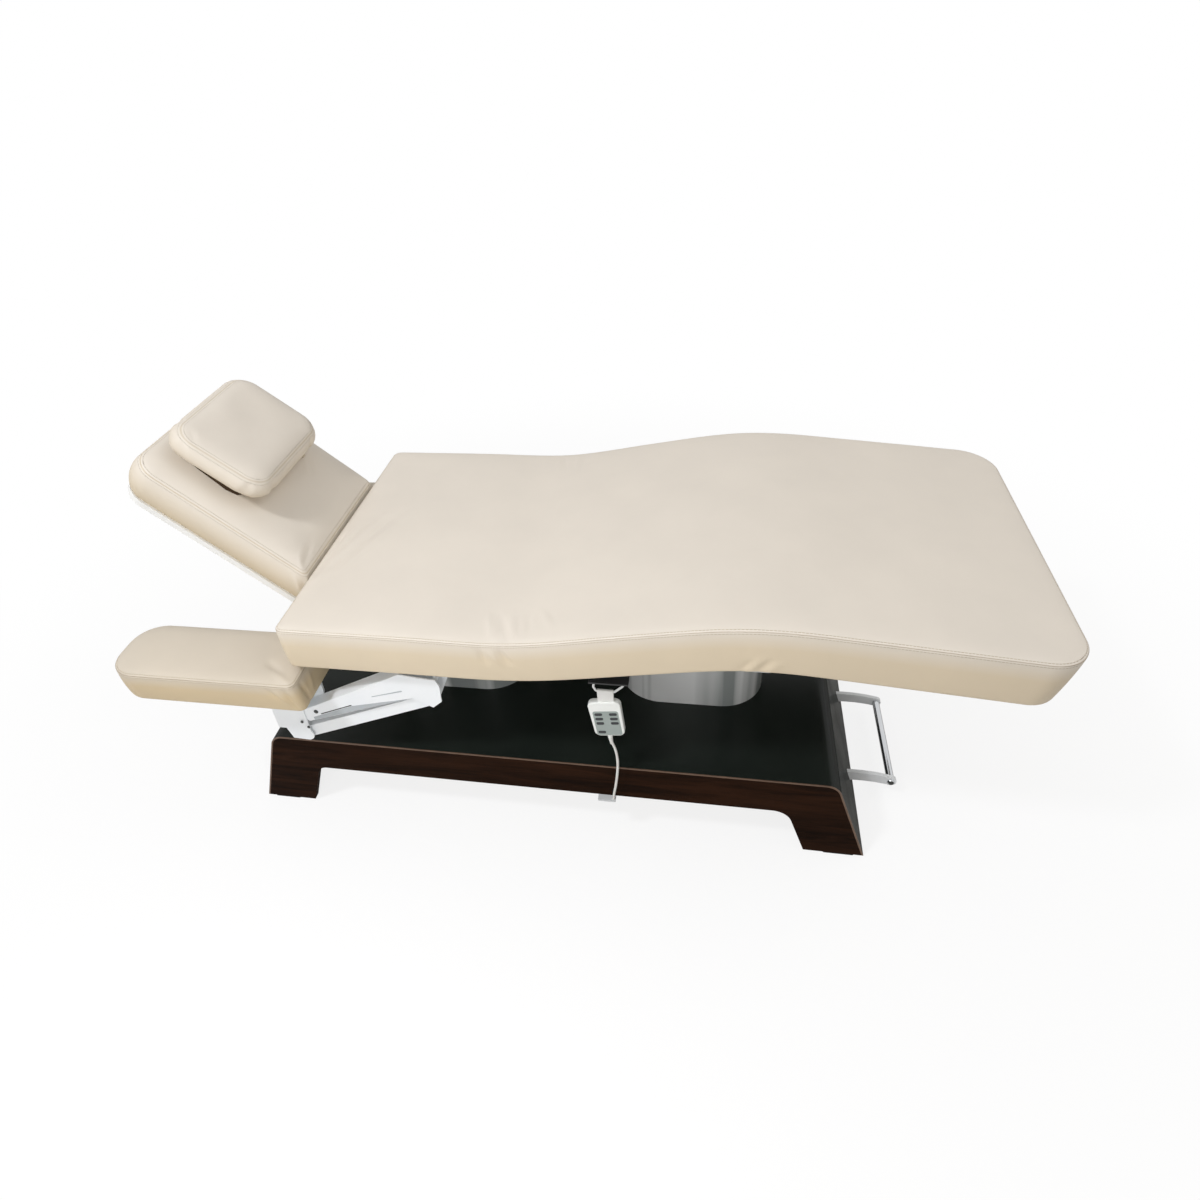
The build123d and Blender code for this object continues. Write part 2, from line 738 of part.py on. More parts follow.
for side, name in ((-1, "right"), (1, "left")):
    armrest_pad = cushion(
        armrest_plane, -table_length / 2, armrest_end_x, side * armrest_y,
        armrest_outer_y - armrest_inner_y, armrest_depth, pad_crown, pad_lean, pad_rim,
        armrest_tip_radius, armrest_corner_radius,
    )
    write(armrest_pad, f"{name}_armrest_pad")

    carrier_low_x = low_pivot_x - link_run_x
    carrier_low_z = low_pivot_z - link_run_z
    carrier_high_x = high_pivot_x - link_run_x
    carrier_high_z = high_pivot_z - link_run_z
    guard_rise = armrest_low_z - carrier_thickness / 2 - carrier_low_z
    with BuildPart() as carrier:
        with BuildSketch(Plane.XY.offset(armrest_low_z - carrier_thickness)):
            with Locations((carrier_low_x + carrier_reach - carrier_length / 2, side * armrest_y)):
                RectangleRounded(carrier_length, carrier_width, carrier_thickness)
        extrude(amount=carrier_thickness)
        with BuildSketch(section(floor_plane, side * plate_y)):
            with Locations((carrier_low_x, carrier_low_z), (carrier_high_x, carrier_high_z)):
                Circle(nose_radius)
            with Locations((carrier_low_x - carrier_root / 2 + carrier_reach, armrest_low_z - nose_radius)):
                Rectangle(carrier_root, nose_radius * 2)
            make_hull()
            with Locations((carrier_low_x, armrest_low_z + overrun / 2)):
                Rectangle(overrun, overrun, mode=Mode.SUBTRACT)
        extrude(amount=side * plate_thickness)
        add(link_pin(carrier_low_x, carrier_low_z, side, cap_reach))
        with BuildSketch(section(floor_plane, side * (plate_y + cap_reach))):
            with Locations((carrier_low_x, carrier_low_z)):
                Circle(cap_radius)
                Polygon(
                    (0, -cap_radius), (guard_near, 0), (guard_near, guard_rise), (-guard_far, guard_rise),
                    (-guard_far, guard_step), (-guard_run - guard_slope, guard_step), (-guard_run, -nose_radius),
                    align=None,
                )
        extrude(amount=-side * cap_thickness)
        add(link_pin(carrier_high_x, carrier_high_z, side, channel_reach))
    write(carrier.part, f"{name}_armrest_carrier")

    with BuildPart() as channel:
        for start_y, points in ((link_inner_y, channel_back), (link_outer_y - link_wall, channel_face)):
            with BuildSketch(section(high_link_plane, side * start_y)):
                with BuildLine():
                    Polyline(*points, close=True)
                make_face()
                with Locations((0, 0), (-link_length, 0)):
                    Circle(pin_radius + pin_play, mode=Mode.SUBTRACT)
            extrude(amount=-side * link_wall)
        with BuildSketch(section(high_link_plane, side * link_inner_y)):
            with BuildLine():
                Polyline(
                    (-link_length - link_eye, channel_low_top),
                    (-channel_peak, channel_high_top),
                    (-channel_peak, channel_high_top - link_wall),
                    (-link_length - link_eye, channel_low_top - link_wall),
                    close=True,
                )
            make_face()
        extrude(amount=-side * link_width)
    write(channel.part, f"{name}_upper_link")

    with BuildPart() as bar:
        with BuildSketch(section(low_link_plane, side * link_y)):
            with Locations((-link_length / 2, 0)):
                SlotOverall(link_length + bar_height, bar_height)
            with Locations((0, 0), (-link_length, 0)):
                Circle(pin_radius + pin_play, mode=Mode.SUBTRACT)
        extrude(amount=bar_width / 2, both=True)
    write(bar.part, f"{name}_lower_link")

plate_inner_y = plate_y - plate_thickness
with BuildPart() as armrest_brackets:
    for side in (-1, 1):
        with BuildSketch(section(floor_plane, side * plate_y)):
            with Locations((low_pivot_x, low_pivot_z), (high_pivot_x, high_pivot_z)):
                Circle(plate_radius)
            make_hull()
        extrude(amount=side * plate_thickness)
        add(link_pin(low_pivot_x, low_pivot_z, side, bar_reach))
        add(link_pin(high_pivot_x, high_pivot_z, side, channel_reach))
        with BuildSketch(Plane.XY.offset(rail_low_z)):
            with Locations((high_pivot_x, side * (rail_outer_y + plate_inner_y) / 2)):
                Rectangle(outrigger_width, plate_inner_y - rail_outer_y)
        extrude(amount=outrigger_depth)
write(armrest_brackets.part, "armrest_brackets")

# Wired handset, hung by a strap from a wire ring under the near edge
handset_x = 131
handset_z = 429
handset_y = -340
handset_tilt = 7
handset_height = 103
handset_top_width = 72
handset_low_width = 66
handset_shell = 8
handset_radius = 14
handset_rim = 3
keypad_width = 56
keypad_height = 74
keypad_drop = 11.5
keypad_depth = 2
keypad_ledge = 2
keypad_radius = 6
keypad_play = 0.1
button_width = 17
button_height = 7
button_proud = 1.2
button_play = 0.15
button_flange = 1
button_flange_depth = 1.5
button_rest = 0.05
button_pitch_x = 32
button_pitch_z = 13.6
button_row_z = 16
strap_width = 34
strap_thickness = 2
strap_x = 130
ring_radius = 2.5
ring_z = 507
ring_play = 0.1
bracket_low_z = 534
bracket_thickness = 4
bracket_length = 84
bracket_x = 138
bracket_lip = 28
bracket_overhang = 9
gland_radius = 5.5
gland_place = -3

handset_plane = tilted(handset_x, handset_z, handset_tilt)
handset_front_y = handset_y - handset_shell
half_handset = handset_height / 2
button_places = {
    "button_height_up": (-button_pitch_x / 2, button_row_z),
    "button_height_down": (button_pitch_x / 2, button_row_z),
    "button_head_up": (-button_pitch_x / 2, button_row_z - button_pitch_z),
    "button_head_down": (button_pitch_x / 2, button_row_z - button_pitch_z),
    "button_legs_up": (-button_pitch_x / 2, button_row_z - 2 * button_pitch_z),
    "button_legs_down": (button_pitch_x / 2, button_row_z - 2 * button_pitch_z),
    "button_reset": (-button_pitch_x / 2, button_row_z - 4 * button_pitch_z),
}


def handset_blank(depth):
    """One shell's outline, from the split plane out by depth, with its outer rim rounded."""
    with BuildPart() as blank:
        with BuildSketch(section(handset_plane, handset_y)) as face:
            with BuildLine():
                Polyline(
                    (-handset_top_width / 2, half_handset),
                    (handset_top_width / 2, half_handset),
                    (handset_low_width / 2, -half_handset),
                    (-handset_low_width / 2, -half_handset),
                    close=True,
                )
            make_face()
            fillet(face.vertices(), handset_radius)
        extrude(amount=depth)
        rim = blank.faces().sort_by(Axis.Y)[0 if depth > 0 else -1]
        fillet(rim.edges(), handset_rim)
    return blank.part


with BuildPart() as handset_front_shell:
    add(handset_blank(handset_shell))
    with BuildSketch(section(handset_plane, handset_front_y)):
        with Locations((0, -keypad_drop)):
            RectangleRounded(keypad_width, keypad_height, keypad_radius)
    extrude(amount=-keypad_depth, mode=Mode.SUBTRACT)
    with BuildSketch(section(handset_plane, handset_front_y)):
        with Locations((0, -keypad_drop)):
            RectangleRounded(
                keypad_width - 2 * keypad_ledge, keypad_height - 2 * keypad_ledge, keypad_radius - keypad_ledge
            )
    extrude(amount=-handset_shell, mode=Mode.SUBTRACT)
write(handset_front_shell.part, "handset_front_shell")

gland_x = handset_plane.from_local_coords((gland_place, 0, -half_handset)).X
with BuildPart() as handset_back_shell:
    add(handset_blank(-handset_shell))
    with BuildSketch(handset_plane.offset(-half_handset)):
        with Locations((gland_place, handset_y)):
            Circle(gland_radius)
    extrude(amount=-2 * gland_radius)
write(handset_back_shell.part, "handset_back_shell")

with BuildPart() as keypad:
    with BuildSketch(section(handset_plane, handset_front_y)):
        with Locations((0, -keypad_drop)):
            RectangleRounded(keypad_width - 2 * keypad_play, keypad_height - 2 * keypad_play, keypad_radius)
        with Locations(*button_places.values()):
            SlotOverall(button_width + 2 * button_play, button_height + 2 * button_play, mode=Mode.SUBTRACT)
    extrude(amount=-keypad_depth)
write(keypad.part, "keypad")

for name, place in button_places.items():
    with BuildPart() as button:
        with BuildSketch(section(handset_plane, handset_front_y - button_proud)):
            with Locations(place):
                SlotOverall(button_width, button_height)
        extrude(amount=-(button_proud + keypad_depth + button_rest + button_flange_depth))
        with BuildSketch(section(handset_plane, handset_front_y + keypad_depth + button_rest)):
            with Locations(place):
                SlotOverall(button_width + 2 * button_flange, button_height + 2 * button_flange)
        extrude(amount=-button_flange_depth)
        fillet(button.faces().sort_by(Axis.Y)[0].edges(), button_flange / 2)
    write(button.part, name)

loop_inner = ring_radius + ring_play
loop_outer = loop_inner + strap_thickness
with BuildPart() as handset_strap:
    with BuildSketch(Plane.YZ.offset(strap_x - strap_width / 2)):
        with Locations((handset_y, ring_z)):
            Circle(loop_outer)
        with Locations((handset_y, handset_z)):
            Rectangle(2 * strap_thickness, handset_height / 2)
        make_hull()
        with Locations((handset_y, ring_z)):
            Circle(loop_inner, mode=Mode.SUBTRACT)
    extrude(amount=strap_width)
    split(bisect_by=handset_plane.offset(half_handset), keep=Keep.TOP)
write(handset_strap.part, "handset_strap")

ring_foot = 5 * ring_radius
ring_points = [
    (strap_x - strap_width / 2 - ring_radius, ring_z),
    (strap_x + strap_width / 2 + ring_radius, ring_z),
    (bracket_x + bracket_length / 2 - bracket_overhang - 2 * ring_radius, ring_z + strap_width / 2),
    (bracket_x + bracket_length / 2 - bracket_overhang, bracket_low_z),
]
ring_points = [
    (bracket_x - bracket_length / 2 + bracket_overhang + ring_radius, bracket_low_z),
    (bracket_x - bracket_length / 2 + bracket_overhang, ring_z + strap_width / 3),
] + ring_points
with BuildPart() as handset_ring:
    with BuildLine(section(floor_plane, handset_y)) as wire:
        FilletPolyline(*ring_points, radius=2 * ring_radius)
    with BuildSketch(Plane(origin=wire.line @ 0, z_dir=wire.line % 0)):
        Circle(ring_radius)
    sweep()
    with BuildSketch(Plane.XY.offset(bracket_low_z)):
        with Locations((bracket_x, (handset_front_y - rail_outer_y) / 2)):
            Rectangle(bracket_length, -handset_front_y - rail_outer_y)
    extrude(amount=bracket_thickness)
    with BuildSketch(Plane.XZ.offset(rail_outer_y)):
        with Locations((bracket_x, bracket_low_z + bracket_thickness - bracket_lip / 2)):
            Rectangle(bracket_length, bracket_lip)
    extrude(amount=bracket_thickness)
write(handset_ring.part, "handset_ring")

# Clip under the near apron, and the free cord from the handset down to it
clip_length = 42
clip_height = 5
clip_width = 34
clip_x = 118
clip_radius = 3
cord_radius = 3
cord_bend_share = 0.45
cord_seat = 0.3

with BuildPart() as cord_clip:
    with BuildSketch(Plane.XY.offset(notch_top_z)):
        with Locations((clip_x, clip_width / 2 - half_carcass - clip_width)):
            Rectangle(clip_length, clip_width)
    extrude(amount=-clip_height)
    fillet(cord_clip.edges().filter_by(Axis.Z), clip_radius)
write(cord_clip.part, "cord_clip")

cord_start = handset_plane.from_local_coords((gland_place, handset_y, -half_handset - 2 * gland_radius - cord_seat))
cord_low_z = notch_top_z + cord_seat
cord_rise = cord_start.Z - cord_low_z
cord_route = [
    (cord_start.X, cord_start.Y, cord_start.Z),
    (137.5, -340, cord_low_z + cord_rise * 0.928),
    (146.5, -340.5, cord_low_z + cord_rise * 0.817),
    (150, -340.5, cord_low_z + cord_rise * 0.631),
    (146.5, -339, cord_low_z + cord_rise * 0.423),
    (141, -337, cord_low_z + cord_rise * 0.22),
    (136, -335, cord_low_z + cord_rise * 0.096),
    (134, -334, cord_low_z),
]
cord_points = [Vector(*point) for point in cord_route]
cord_radii = []
for before, here, after in zip(cord_points, cord_points[1:], cord_points[2:]):
    turn = (here - before).get_angle(after - here)
    shorter = min((here - before).length, (after - here).length)
    cord_radii.append(cord_bend_share * shorter / tan(radians(turn / 2)))
with BuildPart() as handset_cord:
    with BuildLine() as run:
        FilletPolyline(*cord_points, radius=cord_radii)
    with BuildSketch(Plane(origin=run.line @ 0, z_dir=run.line % 0)):
        Circle(cord_radius)
    sweep()
write(handset_cord.part, "handset_cord")
print("cord bend radii", [round(radius) for radius in cord_radii])
cord_length = sum(edge.length for edge in run.edges())
print("cord volume share of its swept section", handset_cord.part.volume / (pi * cord_radius**2 * cord_length))
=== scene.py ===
from functools import partial
from math import cos, pi, radians, sin

import bmesh
import bpy
import numpy as np
from mathutils import Matrix, Vector


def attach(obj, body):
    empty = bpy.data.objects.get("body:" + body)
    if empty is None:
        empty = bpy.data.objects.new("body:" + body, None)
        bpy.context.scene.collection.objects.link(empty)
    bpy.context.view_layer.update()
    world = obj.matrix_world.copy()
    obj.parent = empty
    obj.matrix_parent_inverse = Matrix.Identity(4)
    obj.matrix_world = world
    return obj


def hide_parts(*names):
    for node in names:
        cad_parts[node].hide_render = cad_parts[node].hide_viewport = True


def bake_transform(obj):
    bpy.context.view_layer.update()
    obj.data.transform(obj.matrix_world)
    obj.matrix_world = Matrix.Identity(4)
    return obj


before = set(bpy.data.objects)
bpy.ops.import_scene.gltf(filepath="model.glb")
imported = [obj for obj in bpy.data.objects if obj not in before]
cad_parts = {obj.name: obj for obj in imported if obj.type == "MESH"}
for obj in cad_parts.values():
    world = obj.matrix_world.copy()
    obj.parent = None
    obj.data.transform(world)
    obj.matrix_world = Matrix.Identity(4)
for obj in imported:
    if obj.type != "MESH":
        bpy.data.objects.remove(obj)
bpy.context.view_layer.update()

# Camera: stands in front of the near long side, above the table and a little towards its foot.
# Its place and lens come from the straight edges of the base, the cushion and the armrest.
lens = bpy.data.cameras.new("camera")
lens.sensor_width = 36
lens.lens = 23.694
lens.shift_x = 0.03666
lens.shift_y = -0.02092
lens.clip_start = 0.05
camera = bpy.data.objects.new("camera", lens)
camera.matrix_world = Matrix((
    (0.981447, -0.0435354, 0.1867255, 0.3275104),
    (0.1748881, 0.6024393, -0.7787689, -1.5021348),
    (-0.0785868, 0.7969765, 0.5988761, 1.7029133),
    (0, 0, 0, 1),
))
bpy.context.scene.collection.objects.link(camera)
bpy.context.scene.camera = camera

# Handset lead: a white round PVC cord, 6 mm thick, that hangs from the gland under the handset
# and ends in the clip on the base. It pays out as the top rises, so it runs between the two.
lead_route = [
    (0.1357, -0.340, 0.3663), (0.1375, -0.340, 0.3500), (0.1465, -0.3405, 0.3249),
    (0.1500, -0.3405, 0.2829), (0.1465, -0.339, 0.2359), (0.1410, -0.337, 0.1900),
    (0.1360, -0.335, 0.1620), (0.1340, -0.334, 0.1403),
]
lead_radius, lead_sides = 0.003, 20
relief_start, relief_end, relief_rings, relief_sides = -0.0004, 0.022, 45, 24
relief_heading = np.array([[0.11, 0, -0.994]])
relief_root, relief_taper, relief_groove, relief_ribs = 0.0053, 0.0019, 0.00045, 7


def paint(red, green, blue):
    """A colour given as 0 to 255 on a screen, as the linear light that the shaders take."""
    tone = np.array([red, green, blue]) / 255
    return (*np.where(tone < 0.04045, tone / 12.92, ((tone + 0.055) / 1.055) ** 2.4), 1.0)


def feed(tree, made, inputs):
    """Gives a node's inputs their plain values, or a link where the value is a node's output."""
    for socket, value in inputs.items():
        if isinstance(value, bpy.types.NodeSocket):
            tree.links.new(value, made.inputs[socket])
        else:
            made.inputs[socket].default_value = value


def shade(material, **sockets):
    """Feeds sockets of a material's Principled shader, with _ for the spaces in their names."""
    tree = material.node_tree
    named = {socket.replace("_", " "): value for socket, value in sockets.items()}
    feed(tree, tree.nodes["Principled BSDF"], named)


def finish(name, **sockets):
    """A new material whose even values sit on the Principled shader's own sockets."""
    material = bpy.data.materials.new(name)
    material.use_nodes = True
    shade(material, **sockets)
    return material


def node(tree, kind, inputs=None, **settings):
    """One shader node with its settings, and its inputs either plain values or links."""
    made = tree.nodes.new(kind)
    for setting, value in settings.items():
        setattr(made, setting, value)
    feed(tree, made, inputs or {})
    return made


def group(name, ins, outs):
    """An empty node group with named inputs and outputs: its tree, and its two end nodes."""
    tree = bpy.data.node_groups.new(name, "ShaderNodeTree")
    for label in ins:
        tree.interface.new_socket(label, in_out="INPUT", socket_type="NodeSocketFloat")
    for label in outs:
        kind = "NodeSocketVector" if label == "Normal" else "NodeSocketFloat"
        tree.interface.new_socket(label, in_out="OUTPUT", socket_type=kind)
    return tree, tree.nodes.new("NodeGroupInput").outputs, tree.nodes.new("NodeGroupOutput")


def spread_out(tree, stretch=None):
    """The object's own coordinates, scaled axis by axis where a grain runs along one."""
    place = node(tree, "ShaderNodeTexCoord").outputs["Object"]
    if stretch is None:
        return place
    return node(tree, "ShaderNodeMapping", {"Vector": place, "Scale": stretch}).outputs["Vector"]


def noise(tree, place, scale, detail, **inputs):
    """A cloudy value between 0 and 1."""
    inputs = {"Vector": place, "Scale": scale, "Detail": detail, **inputs}
    return node(tree, "ShaderNodeTexNoise", inputs).outputs["Fac"]


def remap(tree, value, low, high, start=0.0, end=1.0, shape="LINEAR"):
    """A value carried from the range low to high into start to end, and kept inside it."""
    ends = {"Value": value, "From Min": low, "From Max": high, "To Min": start, "To Max": end}
    return node(tree, "ShaderNodeMapRange", ends, interpolation_type=shape).outputs["Result"]


def blend_tones(tree, share, first, second, **settings):
    """A colour between two others, nearer to the second as the share grows."""
    ends = {0: share, 6: first, 7: second}
    return node(tree, "ShaderNodeMix", ends, data_type="RGBA", **settings).outputs[2]


def raised(tree, height, depth, **inputs):
    """The normal of a surface that a height between 0 and 1 raises by a depth in metres."""
    inputs = {"Height": height, "Distance": depth, "Strength": 1.0, **inputs}
    return node(tree, "ShaderNodeBump", inputs).outputs["Normal"]


# Handled surface, shared by the hard finishes: slow patches of haze in the gloss and a fine
# skin of waves, as a moulding or a sprayed coat has.
handled, given, taken = group(
    "handled_surface",
    ("Patch Scale", "Gloss Low", "Gloss High", "Skin Scale", "Skin Depth"),
    ("Roughness", "Normal", "Patches"),
)
place = spread_out(handled)
patches = noise(handled, place, given["Patch Scale"], 4.0)
feed(handled, taken, {
    "Roughness": remap(handled, patches, 0.3, 0.7, given["Gloss Low"], given["Gloss High"]),
    "Normal": raised(handled, noise(handled, place, given["Skin Scale"], 2.0), given["Skin Depth"]),
    "Patches": patches,
})


def handle(material, patch_scale, gloss, skin_scale, skin_depth):
    """Puts the handled surface on a material, its gloss between two roughnesses, and returns the
    value of its patches."""
    made = node(material.node_tree, "ShaderNodeGroup", {
        "Patch Scale": patch_scale, "Gloss Low": gloss[0], "Gloss High": gloss[1],
        "Skin Scale": skin_scale, "Skin Depth": skin_depth,
    }, node_tree=handled)
    shade(material, Roughness=made.outputs["Roughness"], Normal=made.outputs["Normal"])
    return made.outputs["Patches"]


def hard_finish(name, dark, light, gloss, patch_scale, skin_scale, skin_depth, **sockets):
    """A hard finish whose tone drifts between dark and light with the handled surface's patches."""
    material = finish(name, **sockets)
    patches = handle(material, patch_scale, gloss, skin_scale, skin_depth)
    shade(material, Base_Color=blend_tones(material.node_tree, patches, paint(*dark), paint(*light)))
    return material


def solid(name, vertices, faces, material, smooth=True):
    """A mesh object at the origin from arrays of corners and faces."""
    mesh = bpy.data.meshes.new(name)
    mesh.from_pydata(np.asarray(vertices, float).tolist(), [], [list(map(int, face)) for face in faces])
    mesh.polygons.foreach_set("use_smooth", np.full(len(mesh.polygons), smooth))
    mesh.materials.append(material)
    made = bpy.data.objects.new(name, mesh)
    bpy.context.scene.collection.objects.link(made)
    return made


def upright(made):
    """Turns every face of a closed mesh outwards."""
    mesh = bmesh.new()
    mesh.from_mesh(made.data)
    bmesh.ops.recalc_face_normals(mesh, faces=mesh.faces)
    mesh.to_mesh(made.data)
    mesh.free()
    return made


def grid_faces(grid):
    """The four corners of each cell in a grid of corner numbers."""
    return np.stack([grid[:-1, :-1], grid[1:, :-1], grid[1:, 1:], grid[:-1, 1:]], -1)


def tube(name, path, radii, sides, material):
    """A round tube whose radius follows its path, closed at both ends."""
    path, radii = np.asarray(path, float), np.asarray(radii, float)
    along = np.gradient(path, axis=0)
    along /= np.linalg.norm(along, axis=1)[:, None]
    guide = np.array([0.0, 1.0, 0.0]) if abs(along[0, 1]) < 0.8 else np.array([1.0, 0.0, 0.0])
    across = np.cross(along, guide)
    across /= np.linalg.norm(across, axis=1)[:, None]
    other = np.cross(across, along)
    turn = np.linspace(0, 2 * pi, sides, endpoint=False)
    rings = path[:, None] + radii[:, None, None] * (
        np.cos(turn)[None, :, None] * across[:, None] + np.sin(turn)[None, :, None] * other[:, None]
    )
    grid = np.arange(len(path) * sides).reshape(-1, sides)
    around = grid_faces(np.concatenate([grid, grid[:, :1]], axis=1)).reshape(-1, 4)
    return upright(solid(name, rings.reshape(-1, 3), [*around, grid[0], grid[-1, ::-1]], material))


lead_line = bpy.data.curves.new("lead_line", "CURVE")
lead_line.dimensions = "3D"
lead_line.resolution_u = 16
spline = lead_line.splines.new("NURBS")
spline.points.add(len(lead_route) - 1)
spline.points.foreach_set("co", np.column_stack([lead_route, np.ones(len(lead_route))]).ravel())
spline.order_u = 3
spline.use_endpoint_u = True
line_object = bpy.data.objects.new("lead_line", lead_line)
bpy.context.scene.collection.objects.link(line_object)
line_mesh = bpy.data.meshes.new_from_object(line_object)
lead_path = np.array([v.co for v in line_mesh.vertices])
bpy.data.objects.remove(line_object)
bpy.data.meshes.remove(line_mesh)

pvc = hard_finish("white_pvc", (214, 214, 208), (232, 232, 229), gloss=(0.32, 0.46), patch_scale=60,
                  skin_scale=900, skin_depth=0.00004, Subsurface_Weight=0.05, Subsurface_Scale=0.002)
lead = tube("handset_lead", lead_path, np.full(len(lead_path), lead_radius), lead_sides, pvc)
relief_path = lead_path[:1] + np.linspace(relief_start, relief_end, relief_rings)[:, None] * relief_heading
relief_share = np.linspace(0, 1, relief_rings)
relief_radii = (relief_root - relief_taper * relief_share
                - relief_groove * (np.cos(relief_share * 2 * pi * relief_ribs) > 0.35))
relief = tube("lead_strain_relief", relief_path, relief_radii, relief_sides, pvc)
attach(relief, "top")
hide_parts("handset_cord")
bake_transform(lead)


# Floor, world and lamps: a plain white studio. The key lamp stands high in front of the head end,
# as the pillow's shadow shows. A soft lamp in front lights the sides, and one beyond the foot end
# lights the raised head section.
def work_out(tree, operation, *values):
    """The result of one step of arithmetic."""
    return node(tree, "ShaderNodeMath", dict(enumerate(values)), operation=operation).outputs[0]


def seen_rays(tree):
    """One for camera, mirror and glass rays, which see the backdrop's plain white."""
    ray = node(tree, "ShaderNodeLightPath").outputs
    either = work_out(tree, "MAXIMUM", ray["Is Camera Ray"], ray["Is Glossy Ray"])
    return work_out(tree, "MAXIMUM", either, ray["Is Transmission Ray"])


world = bpy.data.worlds.new("studio")
bpy.context.scene.world = world
world.use_nodes = True
sky = world.node_tree
warm = sky.nodes["Background"]
feed(sky, warm, {"Color": (1, 0.965, 0.925, 1), "Strength": 0.45})
white = node(sky, "ShaderNodeBackground", {"Color": (1, 1, 1, 1), "Strength": 1.0})
chosen = node(sky, "ShaderNodeMixShader", {0: seen_rays(sky), 1: warm.outputs[0], 2: white.outputs[0]})
feed(sky, sky.nodes["World Output"], {"Surface": chosen.outputs[0]})

paper = finish("studio_floor", Roughness=0.9, Specular_IOR_Level=0.1)
tree = paper.node_tree
floor_lit, floor_seen = (0.58, 0.57, 0.56, 1), (0.97, 0.97, 0.97, 1)
shade(paper, Base_Color=blend_tones(tree, seen_rays(tree), floor_lit, floor_seen))
glow = node(tree, "ShaderNodeEmission", {"Color": (1, 1, 1, 1), "Strength": 1.0})
outward = node(tree, "ShaderNodeVectorMath", {0: spread_out(tree)}, operation="LENGTH").outputs["Value"]
share = remap(tree, outward, 0.8, 2.4, 0.82, 1.0, "SMOOTHSTEP")
direct = node(tree, "ShaderNodeLightPath").outputs["Is Camera Ray"]
chosen = node(tree, "ShaderNodeMixShader", {
    0: work_out(tree, "MULTIPLY", direct, share),
    1: tree.nodes["Principled BSDF"].outputs[0],
    2: glow.outputs[0],
})
feed(tree, tree.nodes["Material Output"], {"Surface": chosen.outputs[0]})
floor_reach = 40
floor_corners = [(x * floor_reach, y * floor_reach, 0) for x, y in ((-1, -1), (1, -1), (1, 1), (-1, 1))]
floor = solid("studio_floor", floor_corners, [(0, 1, 2, 3)], paper, False)


def lamp(name, spot, aim, size, power, colour):
    """A square area lamp at a spot, facing its aim."""
    light = bpy.data.lights.new(name, "AREA")
    light.color = colour
    light.size = size
    light.energy = power
    made = bpy.data.objects.new(name, light)
    made.location = spot
    made.rotation_euler = (Vector(aim) - Vector(spot)).to_track_quat("-Z", "Y").to_euler()
    bpy.context.scene.collection.objects.link(made)


lamp("key", spot=(-1.94, -1.93, 4.23), aim=(-0.4, 0, 0.6), size=0.5, power=90, colour=(0.985, 1, 1.04))
lamp("front", spot=(-0.25, -1.95, 1.15), aim=(0, 0, 0.5), size=1.1, power=11.5, colour=(1, 1, 1))
lamp("foot", spot=(3.0, 0.4, 4.0), aim=(-0.3, 0, 0.7), size=2.2, power=30, colour=(1, 1, 1))

# Leather: cream upholstery hide, cut in panels and sewn over foam. It has a fine pebble grain
# pressed into it and slow clouds in its gloss.
grain, given, taken = group(
    "hide_grain", ("Pebble Scale", "Depth", "Height"), ("Normal", "Roughness", "Cloud"))
place = spread_out(grain)
pebble = node(grain, "ShaderNodeTexVoronoi", {"Vector": place, "Scale": given["Pebble Scale"]},
              feature="DISTANCE_TO_EDGE").outputs["Distance"]
pores = noise(grain, place, scale=2400.0, detail=2.0)
cloud = noise(grain, place, scale=5.0, detail=5.0, Roughness=0.55)
pebbled = work_out(grain, "MULTIPLY_ADD", pores, 0.25, remap(grain, pebble, 0.0, 0.35))
thread_height = 0.0009
feed(grain, taken, {
    "Normal": raised(grain, given["Height"], thread_height, Normal=raised(grain, pebbled, given["Depth"])),
    "Roughness": remap(grain, cloud, 0.3, 0.7, 0.46, 0.56),
    "Cloud": cloud,
})

# Its sewing: the top panel and the side band meet along the rim, where the seam shows dark
# between two rows of stitches. The pads' attributes give the distances from and along the seam.
seams, given, taken = group("sewn_rim", ("Gap", "Row", "Pitch", "Fade"), ("Line", "Stitch", "Band Shade"))
offset = node(seams, "ShaderNodeAttribute", attribute_name="seam").outputs["Fac"]
run = node(seams, "ShaderNodeAttribute", attribute_name="run").outputs["Fac"]
away = work_out(seams, "ABSOLUTE", offset)
row_away = work_out(seams, "ABSOLUTE", work_out(seams, "SUBTRACT", away, given["Row"]))
beat = work_out(seams, "FLOORED_MODULO", work_out(seams, "DIVIDE", run, given["Pitch"]), 1.0)
dash = work_out(seams, "LESS_THAN", beat, 0.72)
below = work_out(seams, "MULTIPLY", given["Fade"], -1.0)
# Band Shade is the share of painted shade that darkens the band below the seam.
feed(seams, taken, {
    "Line": remap(seams, away, 0.0, given["Gap"], 1.0, 0.0, "SMOOTHSTEP"),
    "Stitch": work_out(seams, "MULTIPLY", remap(seams, row_away, 0.0003, 0.0008, 1.0, 0.0), dash),
    "Band Shade": remap(seams, offset, 0.0005, below),
})


